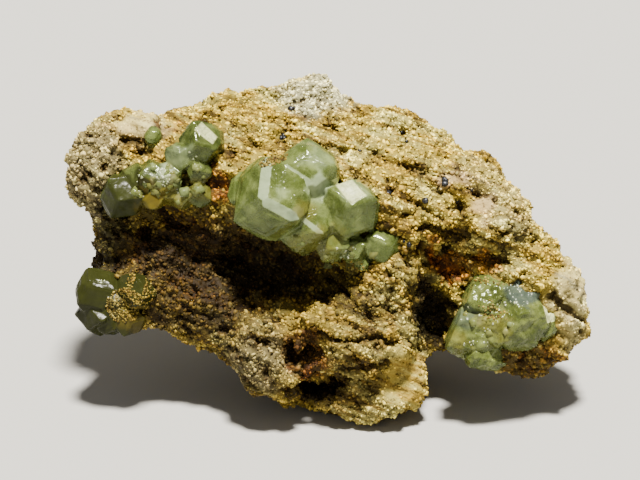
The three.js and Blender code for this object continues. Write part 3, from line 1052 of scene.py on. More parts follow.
@dataclass
class GarnetCluster:
    """One cluster of garnet crystals, dressed over its CAD solid."""

    node: str
    finish: bpy.types.Material
    growth: Growth
    banded: tuple[Banded, ...] = ()
    patches: tuple[Patch, ...] = ()
    facets: tuple[Facet, ...] = ()
    cuts: tuple[Cut, ...] = ()
    seed: int = 1
    least_face: float = 0.8  # square millimetres
    compactness: float = 0.045  # least area over squared perimeter
    most_corners: int = 6
    flat_turn: float = 1.5  # degrees between faces that are merged
    sharp_turn: float = 0.3  # radians at an edge that is bevelled
    same_way: float = 0.9993  # cosine of the angle to a direction that gets frosting and painted sheen
    shown_share: float = 0.08  # what stays of the height over a cut
    sink: tuple[float, float] = (-0.18, 0.05)  # how far a facet is levelled, in millimetres
    ragged_size: float = 1.6  # millimetres
    raggedness: float = 0.6
    patch_edge: tuple[float, float] = (0.55, 1.15)  # shares of the patch's reach
    frost_and_sheen_slot: int = 1

    def build(self, source: bpy.types.Object) -> bpy.types.Object:
        """Make the cluster's mesh and give it its finish.

        Args:
            source: The cluster's CAD object.

        Returns:
            The finished piece.
        """
        shape = merged_copy(source)
        limit = math.radians(self.flat_turn)
        bmesh.ops.dissolve_limit(shape, angle_limit=limit, verts=shape.verts, edges=shape.edges)
        self.frost_and_sheen(shape)
        tree = BVHTree.FromBMesh(shape)
        frost_and_sheen_mask = [face.material_index == self.frost_and_sheen_slot for face in shape.faces]
        self.terrace(shape)
        self.soften(shape)
        piece = piece_from(f"{self.node}_dressed", shape)
        voxelled(piece, self.growth.voxel)
        self.etch(piece)
        self.trim(piece.data)
        self.mark(piece.data, tree, frost_and_sheen_mask)
        piece.data.materials.clear()
        piece.data.materials.append(self.finish)
        for polygon in piece.data.polygons:
            polygon.use_smooth = True
            polygon.material_index = 0
        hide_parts(self.node)
        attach(piece, "root")
        LOG.info("%s: %d faces", piece.name, len(piece.data.polygons))
        return piece

    def frost_and_sheen(self, shape: bmesh.types.BMesh) -> None:
        """Mark the narrow faces along the crystals' edges for frosting, which is painted pale as a
        sheen.

        Args:
            shape: The plain crystals.
        """
        for crystal in self.banded:
            middle = from_face(*crystal.at)
            ways = crystal.directions()
            for face in shape.faces:
                near = (face.calc_center_median() - middle).length < crystal.reach * MM
                if near and any(face.normal.dot(way) > self.same_way for way in ways):
                    face.material_index = self.frost_and_sheen_slot

    def terrace(self, shape: bmesh.types.BMesh) -> None:
        """Raise growth steps on the larger rhombic faces.

        Args:
            shape: The plain crystals.
        """
        growth, choice = self.growth, random.Random(self.seed)
        wide = [f for f in shape.faces if f.material_index == 0 and self.is_open(f)]
        for face in wide:
            depth = growth.step * choice.uniform(*growth.step_range) * MM
            width = choice.uniform(*growth.ledge_range) * math.sqrt(face.calc_area())
            self.raise_step(shape, face, width, depth)
            if choice.random() < growth.second_step:
                self.raise_step(shape, face, width * choice.uniform(*growth.second_range), depth)

    def soften(self, shape: bmesh.types.BMesh) -> None:
        """Bevel the sharp edges.

        Args:
            shape: The stepped crystals.
        """
        sharp = [
            edge
            for edge in shape.edges
            if edge.is_manifold and edge.calc_face_angle(0) > self.sharp_turn
        ]
        bmesh.ops.bevel(
            shape,
            geom=sharp,
            offset=self.growth.edge * MM,
            segments=2,
            profile=0.5,
            affect="EDGES",
            material=-1,
            clamp_overlap=True,
        )

    def is_open(self, face: bmesh.types.BMFace) -> bool:
        """Say whether a face is large and compact enough for a growth step."""
        area, least = face.calc_area(), self.least_face * MM**2
        return area > least and area > self.compactness * face.calc_perimeter() ** 2

    def raise_step(
        self, shape: bmesh.types.BMesh, face: bmesh.types.BMFace, width: float, depth: float
    ) -> None:
        """Inset one face and lift its middle, unless it has grown too small.

        Args:
            shape: The mesh the face belongs to.
            face: The face to raise.
            width: Width of the ledge in metres.
            depth: Height of the step in metres.
        """
        if not self.is_open(face) or len(face.verts) > self.most_corners:
            return
        bmesh.ops.inset_individual(shape, faces=[face], thickness=width * 0.5, depth=0)
        bmesh.ops.inset_individual(shape, faces=[face], thickness=depth * 0.5, depth=depth)

    def etch(self, piece: bpy.types.Object) -> None:
        """Round the crystals a little, then lay growth contours and fine etching over them.

        Args:
            piece: The cluster's piece, already evenly meshed.
        """
        shape = bmesh.new()
        shape.from_mesh(piece.data)
        for _ in range(self.growth.smoothing):
            bmesh.ops.smooth_vert(
                shape,
                verts=shape.verts,
                factor=0.5,
                use_axis_x=True,
                use_axis_y=True,
                use_axis_z=True,
            )
        shape.normal_update()
        shift = Vector((self.seed * 3.7, self.seed * 1.9, 0))
        growth = self.growth
        for vert in shape.verts:
            place = vert.co / MM + shift
            level = noise.noise(place / growth.contour_size) * growth.levels
            ledge = math.floor(level) + min(1.0, 4 * (level - math.floor(level)))
            pits = noise.noise(place / growth.etching_size)
            height = growth.contour * ledge / 4 + growth.etching * pits
            vert.co += vert.normal * height * MM
        shape.to_mesh(piece.data)
        shape.free()

    def trim(self, mesh: bpy.types.Mesh) -> None:
        """Cut the cluster back to its planes and level its flat facets.

        Args:
            mesh: The cluster's mesh.
        """
        places = to_face(points_of(mesh))
        for cut in self.cuts:
            way = np.array(Vector(cut.way).normalized())
            over = (places - np.array(cut.at)) @ way
            over = np.where(over > 0, over * (1 - self.shown_share), 0)
            places = places - over[:, None] * way
        for facet in self.facets:
            cover = facet.cover(places)
            chosen = places[cover > 0.5]
            if len(chosen) < 3:
                continue
            sides = np.column_stack([chosen[:, :2], np.ones(len(chosen))])
            slopes = np.linalg.lstsq(sides, chosen[:, 2], rcond=None)[0]
            level = np.column_stack([places[:, :2], np.ones(len(places))]) @ slopes
            places[:, 2] += cover * np.clip(level - places[:, 2], *self.sink)
        moved = (places @ np.array(FACE_TURN).T + np.array(FACE_SHIFT)) * MM
        mesh.vertices.foreach_set("co", moved.ravel())
        mesh.update()

    def mark(self, mesh: bpy.types.Mesh, tree: BVHTree, frost_and_sheen_mask: list[bool]) -> None:
        """Store where the mesh has frosting with painted sheen, and its coloured patches, among
        them painted shade and painted highlights.

        Args:
            mesh: The finished mesh.
            tree: The plain crystals' faces.
            frost_and_sheen_mask: For each of those faces, whether it gets frosting and painted
                sheen.
        """
        points = points_of(mesh)
        frost_and_sheen = np.zeros(len(points))
        if any(frost_and_sheen_mask):
            nearest = [tree.find_nearest(Vector(point))[2] for point in points]
            frost_and_sheen = np.array([float(frost_and_sheen_mask[index]) for index in nearest])
        covers = {"frost_and_sheen": frost_and_sheen}
        for name in ("blue", "amber", "deep", "painted_highlight"):
            covers[name] = np.zeros(len(points))
        places = to_face(points)
        for facet in self.facets:
            cover = facet.strength * facet.cover(places)
            covers[facet.name] = np.maximum(covers[facet.name], cover)
        size = self.ragged_size
        ragged = np.array([noise.turbulence(Vector(place) / size, 4, False) for place in places])
        for patch in self.patches:
            offset = (places - np.array(patch.at)) * np.array([1.0, 1.0, 0.5])
            away = np.linalg.norm(offset, axis=1) / patch.reach
            away = away + self.raggedness * ragged
            cover = patch.strength * (1 - soft_step(away, *self.patch_edge))
            covers[patch.name] = np.maximum(covers[patch.name], cover)
        for name, values in covers.items():
            carry(mesh, name, values)


@dataclass
class MatrixRock:
    """The crumbly rock that carries the crystals, with sizes in millimetres."""

    finish: bpy.types.Material
    crystals: list[bpy.types.Object]
    voxel: float = 0.28
    wall_reach: float = 0.95  # how near a crystal the rock is drawn to it
    bite: float = 0.12  # how deep it is drawn in
    firm_share: float = 0.55  # share of the reach in which it is drawn all the way
    loose_share: float = 0.45  # share in which that fades out
    smoothness: float = 0.8  # how far the smooth stains level the relief
    foot_band: tuple[float, float] = (0.15, 1.2)  # heights between which the relief fades in
    margin: float = 0.02  # gap to the sides of the CAD box
    foot_height: float = 0.05  # below it the rock stands on the floor
    ridge_sizes: tuple[float, float, float] = (4.0, 0.85, 1.4)
    crease_sizes: tuple[float, float, float] = (3.4, 1.2, 1.6)
    crease_width: float = 0.08
    lump_size: float = 1.9
    crumb_size: float = 1.15
    fine_size: float = 0.6
    pit_size: float = 1.5
    pit_level: float = 0.28
    lowered: float = 0.14

    def build(self, source: bpy.types.Object) -> bpy.types.Object:
        """Make the rock's mesh with its relief and stains.

        Args:
            source: The rock's CAD object.

        Returns:
            The finished piece.
        """
        piece = piece_from("matrix_rock", merged_copy(source))
        voxelled(piece, self.voxel)
        mesh = piece.data
        points, normals = points_of(mesh), points_of(mesh, "normal")
        places = to_face(points)
        heights = np.array([self.relief(Vector(place)) for place in places])
        heights = heights * (1 - self.smoothness * stains_and_shade_at(places)[StainAndShadeKind.SMOOTH])
        wandering = wandered(places, 0.5)
        heights = heights + sum(seam.heights(wandering) for seam in SEAMS)
        heights = heights * soft_step(points[:, 2] / MM, *self.foot_band)
        moved = points + normals * heights[:, None] * MM
        moved = self.close_walls(moved)
        low, high = (np.array(corner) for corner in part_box("matrix"))
        moved = np.clip(moved, low + self.margin * MM, high - self.margin * MM)
        foot = points[:, 2] < self.foot_height * MM
        moved[:, 2] = np.where(foot, 0.0, np.maximum(moved[:, 2], 0.0))
        mesh.vertices.foreach_set("co", moved.ravel())
        mesh.update()
        self.stain(mesh, moved, heights)
        mesh.materials.append(self.finish)
        for polygon in mesh.polygons:
            polygon.use_smooth = True
        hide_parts("matrix")
        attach(piece, "root")
        LOG.info("%s: %d faces", piece.name, len(mesh.polygons))
        return piece

    def relief(self, place: Vector) -> float:
        """Work out the rock's relief at one place.

        Args:
            place: The place on the display face, in millimetres.

        Returns:
            Height over the CAD surface in millimetres, mostly below it.
        """
        along = place.x * RIDGE_COS - place.y * RIDGE_SIN
        across = place.x * RIDGE_SIN + place.y * RIDGE_COS
        long, wide, deep = self.ridge_sizes
        ridges = noise.noise(Vector((along / long, across / wide, place.z / deep)))
        lumps = noise.noise(place / self.lump_size)
        crumbs = 0.5 - noise.voronoi(place / self.crumb_size)[0][0]
        fine = 0.5 - noise.voronoi(place / self.fine_size + Vector((7.0, 3.0, 5.0)))[0][0]
        hollows = noise.noise(place / self.pit_size + Vector((31.0, 7.0, 0.0)))
        pit = max(0.0, hollows - self.pit_level)
        long, wide, deep = self.crease_sizes
        line = noise.noise(Vector((along / long + 5, across / wide, place.z / deep)))
        crease = max(0.0, 1 - abs(line) / self.crease_width)
        high = 0.5 * ridges + 0.35 * lumps + 0.42 * crumbs + 0.3 * fine
        return high - 3.2 * pit - 0.5 * crease - self.lowered

    def close_walls(self, points: np.ndarray) -> np.ndarray:
        """Draw the rock beside the crystals onto them, so that they sit fast in it.

        Args:
            points: The rock's points in metres.

        Returns:
            The points, moved where they were close to a crystal.
        """
        graph = bpy.context.evaluated_depsgraph_get()
        for crystal in self.crystals:
            tree = BVHTree.FromObject(crystal, graph)
            reach = self.wall_reach * MM
            for i in np.flatnonzero(near_piece(points, crystal, reach)):
                point = Vector(points[i])
                hit, normal, _, away = tree.find_nearest(point, reach)
                if hit is None:
                    continue
                outside = (point - hit).dot(normal) > 0
                target = hit - normal * self.bite * MM
                loose = (reach - away) / (self.loose_share * reach)
                pull = 1.0 if away < self.firm_share * reach else loose
                if outside:
                    points[i] = point.lerp(target, pull)
        return points

    def stain(self, mesh: bpy.types.Mesh, points: np.ndarray, heights: np.ndarray) -> None:
        """Store the rock's relief, its stains and its painted shade on its mesh.

        Args:
            mesh: The rock's mesh.
            points: Its points in metres.
            heights: How far each of them was moved, in millimetres.
        """
        places = to_face(points)
        # The relief, a height, becomes painted shade in the hollows in the finish.
        carry(mesh, "relief", np.clip(0.5 + heights * 0.6, 0.0, 1.0))
        carry(mesh, "tone", np.full(len(points), 0.5))
        for kind, cover in stains_and_shade_at(places).items():
            carry(mesh, kind.value, cover)


def wandered(places: np.ndarray, reach: float) -> np.ndarray:
    """Shift places along the display face, so that what is drawn there gets ragged edges.

    Args:
        places: Points on the display face, in millimetres.
        reach: How far they may shift.

    Returns:
        The shifted points.
    """
    shift = Vector((9.0, 9.0, 9.0))
    across = np.array([noise.noise(Vector(place) / WANDER_SIZE) for place in places])
    up = np.array([noise.noise(Vector(place) / WANDER_SIZE + shift) for place in places])
    moved = places.copy()
    moved[:, 0] += reach * across
    moved[:, 1] += reach * up
    return moved


def stains_and_shade_at(places: np.ndarray) -> dict[StainAndShadeKind, np.ndarray]:
    """Work out every kind of stain and the painted shade, with ragged edges.

    Args:
        places: Points on the display face, in millimetres.

    Returns:
        For each kind of stain and for the painted shade, its strength at each point.
    """
    wandering = wandered(places, 1.6)
    covers = {kind: np.zeros(len(places)) for kind in StainAndShadeKind}
    for one in STAINS_AND_SHADE:
        covers[one.kind] = np.maximum(covers[one.kind], one.cover(wandering))
    return covers


@dataclass
class GrainCoat:
    """Loose grains that stick to one side of the rock, joined in one mesh; in millimetres."""

    name: str
    rock: bpy.types.Object
    crystals: list[bpy.types.Object]
    finish: bpy.types.Material
    count: int
    spacing: float
    sizes: tuple[float, float]
    front: bool
    seed: int
    shapes: int = 12
    sunk: float = 0.15  # share of its size
    lift: float = 0.02  # least height over the floor
    lowest: float = 0.35  # height of the lowest spots
    tries: int = 5  # spots drawn for each grain
    bareness: float = 1.1  # how bare the smooth stains are
    crystal_reach: float = 1.2
    clearance: float = 0.06
    block: float = 1.35  # side of the cube that a grain is shaped from, in its sizes
    stretch: tuple[float, float] = (0.6, 1.2)
    nudge: float = 0.3

    def build(self) -> bpy.types.Object:
        """Scatter the grains and join them.

        Returns:
            The finished piece.
        """
        rng = np.random.default_rng(self.seed)
        spots, normals, carried = self.spots(rng)
        count = len(spots)
        radius = rng.uniform(0, 1, count) ** 2 * (self.sizes[1] - self.sizes[0]) + self.sizes[0]
        seeds = [self.grain(i) for i in range(self.shapes)]
        corner_count, side_count = len(seeds[0][0]), len(seeds[0][1])
        picks = rng.integers(0, self.shapes, count)
        forms = np.array([corners for corners, _ in seeds])[picks]
        sides = np.array([faces for _, faces in seeds])[picks]
        turns = random_turns(rng, count)
        middles = spots - normals * (radius * self.sunk * MM)[:, None]
        corners = np.einsum("nij,nkj->nki", turns, forms) * (radius * MM)[:, None, None]
        corners = corners + middles[:, None, :]
        low, high = (np.array(side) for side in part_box("matrix"))
        corners = np.clip(corners, low + [0, 0, self.lift * MM], high)
        mesh = joined(self.name, corners, sides)
        for name, values in carried.items():
            carry(mesh, name, np.repeat(values, corner_count))
        carry(mesh, "tone", np.repeat(rng.uniform(0, 1, count), corner_count))
        mesh.materials.append(self.finish)
        piece = linked(self.name, mesh)
        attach(piece, "root")
        LOG.info("%s: %d grains, %d faces", self.name, count, side_count * count)
        return piece

    def grain(self, number: int) -> tuple[np.ndarray, np.ndarray]:
        """Shape one angular grain about the origin.

        Args:
            number: Which of the coat's grain shapes it is.

        Returns:
            Its corners and its triangles.
        """
        choice = random.Random(self.seed * 31 + number)
        shape = bmesh.new()
        bmesh.ops.create_cube(shape, size=self.block)
        bmesh.ops.triangulate(shape, faces=shape.faces)
        stretch = Vector([choice.uniform(*self.stretch) for _ in range(3)])
        for vert in shape.verts:
            nudge = Vector([choice.uniform(-self.nudge, self.nudge) for _ in range(3)])
            vert.co = Vector([c * s for c, s in zip(vert.co + nudge, stretch)])
        corners = np.array([vert.co[:] for vert in shape.verts])
        faces = np.array([[vert.index for vert in face.verts] for face in shape.faces])
        shape.free()
        return corners, faces

    def spots(self, rng: np.random.Generator) -> tuple[np.ndarray, np.ndarray, dict]:
        """Choose where the grains sit.

        Args:
            rng: Source of the random choices.

        Returns:
            The spots, the rock's normals there, and what the rock carries there.
        """
        mesh = self.rock.data
        mesh.calc_loop_triangles()
        triples = np.empty(len(mesh.loop_triangles) * 3, dtype=np.int32)
        mesh.loop_triangles.foreach_get("vertices", triples)
        triples = triples.reshape(-1, 3)
        points = points_of(mesh)
        a, b, c = (points[triples[:, k]] for k in range(3))
        cross = np.cross(b - a, c - a)
        area = np.linalg.norm(cross, axis=1) / 2
        middle_out = to_face((a + b + c) / 3)[:, 2]
        side = middle_out > BACK_STARTS if self.front else middle_out <= BACK_STARTS
        above = (a[:, 2] > self.lowest * MM) & (area > 0)
        weight = np.where(side & above, area, 0)
        picks = rng.choice(len(area), size=self.count * self.tries, p=weight / weight.sum())
        share = rng.uniform(0, 1, (len(picks), 2))
        share = np.where(share.sum(axis=1, keepdims=True) > 1, 1 - share, share)
        spots = a[picks] + share[:, :1] * (b - a)[picks] + share[:, 1:] * (c - a)[picks]
        normals = cross[picks] / (2 * area[picks])[:, None]
        smooth = self.rock_value("smooth", len(points))[triples[picks, 0]]
        bare = rng.uniform(0, 1, len(picks)) < smooth * self.bareness
        spots, normals, picks = spots[~bare], normals[~bare], picks[~bare]
        cells = np.floor(spots / (self.spacing * MM)).astype(np.int64)
        _, first = np.unique(cells, axis=0, return_index=True)
        first = np.sort(first)
        first = first[self.clear_of_crystals(spots[first])][: self.count]
        near = triples[picks[first], 0]
        carried = {}
        # Each grain takes the rock's relief and painted shade where it sits, so grains in hollows
        # and shaded places are painted darker, and it also takes the rock's stains.
        for name in ("relief", "gloom", "rust", "earth", "pale", "pink"):
            carried[name] = self.rock_value(name, len(points))[near]
        return spots[first], normals[first], carried

    def rock_value(self, name: str, count: int) -> np.ndarray:
        """Read one of the numbers that the rock's mesh carries.

        Args:
            name: The name it is carried under.
            count: How many points the mesh has.

        Returns:
            One number for each point.
        """
        values = np.empty(count, dtype=np.float32)
        self.rock.data.attributes[name].data.foreach_get("value", values)
        return values

    def clear_of_crystals(self, spots: np.ndarray) -> np.ndarray:
        """Say which spots lie outside every crystal.

        Args:
            spots: The spots in metres.

        Returns:
            True for each spot that does.
        """
        graph = bpy.context.evaluated_depsgraph_get()
        free = np.ones(len(spots), dtype=bool)
        reach, clearance = self.crystal_reach * MM, self.clearance * MM
        for crystal in self.crystals:
            tree = BVHTree.FromObject(crystal, graph)
            for i in np.flatnonzero(near_piece(spots, crystal, reach)):
                spot = Vector(spots[i])
                hit, normal, _, _ = tree.find_nearest(spot, reach)
                if hit is not None and (spot - hit).dot(normal) < clearance:
                    free[i] = False
        return free


@dataclass(frozen=True)
class Sprinkle:
    """A zone of the display face over which small crystals or grains lie, in millimetres."""

    x: float
    y: float
    across: float
    up: float
    count: int
    turn: float = 0.0


@dataclass
class SmallCrystals:
    """Tiny crystals or oxide grains set on what lies behind them, joined in one mesh."""

    name: str
    hosts: list[bpy.types.Object]
    finish: bpy.types.Material
    slot: str
    zones: tuple[Sprinkle, ...]
    sizes: tuple[float, float]
    seed: int
    carried: tuple[tuple[str, float, float], ...] = ()
    sunk: float = 0.35
    angular: bool = True
    wobble: float | None = None

    def build(self) -> bpy.types.Object:
        """Set the crystals and join them.

        Returns:
            The finished piece.
        """
        rng = np.random.default_rng(self.seed)
        spots, normals = self.spots(rng)
        count = len(spots)
        radius = rng.uniform(*self.sizes, count)
        form, side = self.form()
        if self.wobble is None:
            turns = random_turns(rng, count)
        else:
            turns = turns_to_light(rng, count, self.wobble)
        corners = np.einsum("nij,kj->nki", turns, form) * (radius * MM)[:, None, None]
        corners = corners + (spots - normals * (radius * self.sunk * MM)[:, None])[:, None, :]
        mesh = joined(self.name, corners, np.repeat(side[None], count, axis=0))
        for name, low, high in self.carried:
            carry(mesh, name, np.repeat(rng.uniform(low, high, count), len(form)))
        mesh.materials.append(self.finish)
        piece = linked(self.name, mesh)
        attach(piece, "root")
        LOG.info("%s: %d crystals", self.name, count)
        return piece

    def form(self) -> tuple[np.ndarray, np.ndarray]:
        """Shape one crystal of twelve rhombic faces, or a rounder lump.

        Returns:
            Its corners and its triangles.
        """
        shape = bmesh.new()
        if self.angular:
            bmesh.ops.create_cube(shape, size=CUBE_SIDE)
            for axis in range(3):
                for tip in (-CUBE_SIDE, CUBE_SIDE):
                    bmesh.ops.create_vert(shape, co=[tip if k == axis else 0 for k in range(3)])
            bmesh.ops.delete(shape, geom=shape.faces[:], context="FACES_KEEP_BOUNDARY")
            bmesh.ops.delete(shape, geom=shape.edges[:], context="EDGES")
            bmesh.ops.convex_hull(shape, input=shape.verts)
        else:
            bmesh.ops.create_icosphere(shape, subdivisions=2, radius=1)
            for vert in shape.verts:
                vert.co *= 1 + 0.35 * noise.noise(vert.co * 1.7)
        bmesh.ops.triangulate(shape, faces=shape.faces)
        bmesh.ops.recalc_face_normals(shape, faces=shape.faces)
        shape.verts.index_update()
        corners = np.array([vert.co[:] for vert in shape.verts])
        sides = np.array([[vert.index for vert in face.verts] for face in shape.faces])
        shape.free()
        return corners, sides

    def spots(self, rng: np.random.Generator) -> tuple[np.ndarray, np.ndarray]:
        """Find places on the hosts, straight behind points of the zones.

        Args:
            rng: Source of the random choices.

        Returns:
            The places and the hosts' normals there.
        """
        graph = bpy.context.evaluated_depsgraph_get()
        trees = [BVHTree.FromObject(host, graph) for host in self.hosts]
        inward = FACE_TURN @ Vector((0, 0, -1))
        found = []
        for zone in self.zones:
            turn = math.radians(zone.turn)
            for _ in range(zone.count):
                reach, angle = math.sqrt(rng.uniform()), rng.uniform(0, 2 * math.pi)
                a, b = zone.across * reach * math.cos(angle), zone.up * reach * math.sin(angle)
                x = zone.x + a * math.cos(turn) - b * math.sin(turn)
                y = zone.y + a * math.sin(turn) + b * math.cos(turn)
                start = from_face(x, y, RAY_START)
                hits = [hit for hit in (tree.ray_cast(start, inward) for tree in trees) if hit[0]]
                if hits:
                    found.append(min(hits, key=lambda hit: hit[3])[:2])
        return np.array([place for place, _ in found]), np.array([normal for _, normal in found])


@dataclass
class Studio:
    """Pale floor, soft lights and the camera in front of the display face."""

    distance: float = 400.0  # millimetres before the face
    millimetres_wide: float = 67.2
    look_at: tuple[float, float, float] = (-0.525, 1.05, 0.0)  # on the face, in millimetres
    film_width: float = 36.0
    sight: tuple[float, float] = (0.01, 20.0)  # metres
    floor_half: float = 12.0  # metres
    middle_height: float = 0.016  # metres
    key_at: tuple[float, float, float] = (0.02, -0.08, 0.36)  # metres
    key_power: float = 17.5
    key_angle: float = 9.0  # degrees
    key_colour: tuple[float, float, float] = (1.0, 0.955, 0.86)
    fill_at: tuple[float, float, float] = (-0.25, -0.42, 0.16)  # metres
    fill_power: float = 0.3
    fill_size: float = 0.35  # metres
    fill_colour: tuple[float, float, float] = (1.0, 0.97, 0.92)
    sky_colour: tuple[float, float, float, float] = (1.0, 0.98, 0.95, 1.0)
    sky_strength: float = 0.3

    def build(self) -> None:
        """Make the floor, the lights and the camera."""
        self.floor()
        key = bpy.data.lights.new("key", "SUN")
        key.angle = math.radians(self.key_angle)
        self.light(key, self.key_at, self.key_power, self.key_colour)
        fill = bpy.data.lights.new("fill", "AREA")
        fill.size = self.fill_size
        self.light(fill, self.fill_at, self.fill_power, self.fill_colour)
        world = bpy.data.worlds.new("studio")
        world.use_nodes = True
        back = world.node_tree.nodes["Background"]
        back.inputs["Color"].default_value = self.sky_colour
        back.inputs["Strength"].default_value = self.sky_strength
        bpy.context.scene.world = world
        self.camera()

    def floor(self) -> None:
        """Lay a wide plain floor under the specimen."""
        shape = bmesh.new()
        bmesh.ops.create_grid(shape, x_segments=1, y_segments=1, size=self.floor_half)
        floor = piece_from("studio_floor", shape)
        floor.data.materials.append(FloorFinish().material())

    def light(self, lamp: bpy.types.Light, at: tuple, power: float, colour: tuple) -> None:
        """Hang one soft light that looks at the specimen.

        Args:
            lamp: The light.
            at: Its place in metres.
            power: Its power in watts, or watts a square metre for the key light.
            colour: Its colour.
        """
        lamp.energy = power
        lamp.color = colour
        holder = linked(lamp.name, lamp)
        holder.location = at
        way = Vector((0, 0, self.middle_height)) - Vector(at)
        holder.rotation_euler = way.to_track_quat("-Z", "Y").to_euler()

    def camera(self) -> None:
        """Set the camera square to the display face."""
        lens = bpy.data.cameras.new("camera")
        lens.sensor_width = self.film_width
        lens.lens = self.film_width * self.distance / self.millimetres_wide
        lens.clip_start, lens.clip_end = self.sight
        x, y, z = self.look_at
        holder = linked("camera", lens)
        holder.location = from_face(x, y, z + self.distance)
        holder.rotation_euler = (math.radians(90 - FACE_LEAN), 0, 0)
        bpy.context.scene.camera = holder


# Narrow faces in these directions get frosting, painted pale as a sheen.
CENTRE_BANDS = (
    Banded(
        Habit.CORNER, (-4.8, 5.4, 3.6), (2, -21, 0), 5.6,
        ((-0.34, 0.3, 0.89), (-0.07, -0.2, 0.98)),
    ),
    Banded(Habit.FACE, (-1.7, 7.8, 3.8), (-15, 3, 2), 4.4, ((-0.23, -0.18, 0.96),)),
    Banded(
        Habit.CORNER, (-2.3, 3.2, 3.4), (-12, -15, -11), 4.6,
        ((0.0, -0.01, 1.0), (-0.18, 0.51, 0.84)),
    ),
)
# Painted highlight on the face of the centre cluster's right crystal that mirrors the light.
CENTRE_FACETS = (Facet("painted_highlight", ((0.7, 7.2), (2.7, 4.7), (4.3, 5.7), (2.1, 8.0)), 1.5, 0.7),)
# The frosting patches here are painted pale as a sheen.
CENTRE_PATCHES = (
    Patch("frost_and_sheen", (3.0, 6.6, 5.6), 1.9, 0.3),
    Patch("frost_and_sheen", (-0.3, 6.8, 5.6), 1.3, 0.9),
    Patch("blue", (-3.2, 3.5, 6.4), 1.2, 0.45),
    Patch("frost_and_sheen", (-4.6, 5.7, 7.4), 1.0, 0.4),
    Patch("frost_and_sheen", (-0.9, 5.9, 6.2), 1.3, 0.6),
    Patch("frost_and_sheen", (-0.6, 9.8, 5.5), 1.7, 0.3),
    Patch("amber", (-2.0, 4.0, 6.2), 1.5, 0.5),
    Patch("amber", (-1.0, 0.2, 5.0), 2.6, 0.5),
    Patch("amber", (1.0, 1.6, 5.0), 1.4, 0.4),
)
# Painted highlight on the top face of the upper-left cluster's top crystal.
UPPER_LEFT_FACETS = (
    Facet("painted_highlight", ((-13.65, 12.5), (-11.7, 11.0), (-11.2, 11.8), (-12.9, 13.4)), 0.5, 0.7),
)
# Painted highlight on a pale wedge face of the right cluster.
RIGHT_FACETS = (
    Facet("painted_highlight", ((22.7, -5.6), (23.2, -7.6), (24.2, -7.4), (23.5, -5.7)), -2.0),
)
RIGHT_CUTS = (Cut((15.3, -3.2, 0.0), (-0.917, 0.399, 0.15)),)
UPPER_LEFT_PATCHES = (
    # Frosting patches painted as glints and sheen over the drusy spots.
    Patch("frost_and_sheen", (-16.8, 7.7, 2.8), 1.3, 0.7),
    Patch("frost_and_sheen", (-15.0, 6.2, 2.2), 1.0, 0.5),
    Patch("frost_and_sheen", (-15.1, 9.9, 2.6), 1.4, 0.35),
    # Painted shade on the lower faces of the left crystal.
    Patch("deep", (-20.9, 4.6, 1.0), 4.8, 1.0),
    Patch("amber", (-16.5, 5.2, 1.8), 3.0, 0.7),
    Patch("amber", (-12.6, 6.5, 1.8), 1.6, 0.5),
)
LOWER_LEFT_PATCHES = (
    # Painted shade over the whole lower-left cluster, which lies in shade.
    Patch("deep", (-22.8, -6.0, -1.0), 10.5, 1.0),
    Patch("amber", (-20.0, -7.4, 0.0), 2.0, 0.4),
)
RIGHT_PATCHES = (
    Patch("blue", (20.2, -4.4, 1.6), 2.1, 0.9),
    # Painted shade on the left part of the right cluster.
    Patch("deep", (14.8, -7.2, 2.4), 3.0, 0.32),
    Patch("blue", (14.8, -7.0, 2.4), 1.6, 0.6),
    Patch("amber", (17.6, -8.0, 3.6), 2.0, 0.45),
    Patch("amber", (13.6, -9.6, 2.4), 1.6, 0.5),
)
DRUSE_ZONES = (
    Sprinkle(-16.9, 7.4, 2.0, 1.5, 16),
    Sprinkle(-15.0, 6.0, 1.8, 1.1, 12),
    Sprinkle(-18.9, 6.6, 1.2, 1.4, 7),
    Sprinkle(-13.4, 7.4, 0.8, 2.0, 7),
    Sprinkle(0.2, -0.4, 3.8, 1.2, 18, -18),
    Sprinkle(3.4, -0.6, 1.6, 1.2, 7),
    Sprinkle(17.0, -7.4, 2.8, 1.4, 9, -15),
)
CLINGING_ZONES = (
    Sprinkle(-21.0, -5.8, 2.0, 1.8, 420, 20),
    Sprinkle(-18.2, -4.6, 0.9, 2.2, 160),
    Sprinkle(-20.4, -3.4, 0.4, 1.2, 60, -20),
    Sprinkle(-5.3, 9.3, 1.6, 0.5, 170, 20),
    Sprinkle(16.8, -3.2, 3.0, 0.4, 50, -6),
    Sprinkle(17.6, -6.4, 1.8, 1.0, 60, -30),
    Sprinkle(3.8, -1.9, 2.2, 0.5, 40, -20),
)
OXIDE_ZONES = (
    Sprinkle(-4.4, 11.9, 0.3, 0.3, 3),
    Sprinkle(-3.3, 14.9, 0.3, 0.2, 2),
    Sprinkle(12.6, 7.2, 0.35, 0.4, 4),
    Sprinkle(8.3, 1.0, 1.0, 0.7, 3),
    Sprinkle(7.0, 9.0, 9.0, 4.0, 7, -20),
)
GLINT_ZONES = (
    Sprinkle(-16.9, 7.6, 0.8, 1.0, 46),
    Sprinkle(-15.0, 6.2, 0.45, 0.6, 16),
    Sprinkle(-18.6, 7.4, 1.4, 0.5, 8),
    Sprinkle(-14.2, 9.8, 0.8, 0.4, 3),
    Sprinkle(-23.6, -3.2, 0.5, 0.3, 8),
    Sprinkle(19.0, -5.5, 2.0, 0.3, 16, 5),
    Sprinkle(15.8, -9.8, 1.6, 0.3, 10),
    Sprinkle(20.6, -4.0, 0.5, 0.4, 4),
    Sprinkle(16.2, -7.0, 2.0, 1.4, 8, -20),
    Sprinkle(1.0, 0.2, 3.0, 1.0, 12, -18),
    Sprinkle(-3.2, 6.6, 1.4, 1.6, 5),
)
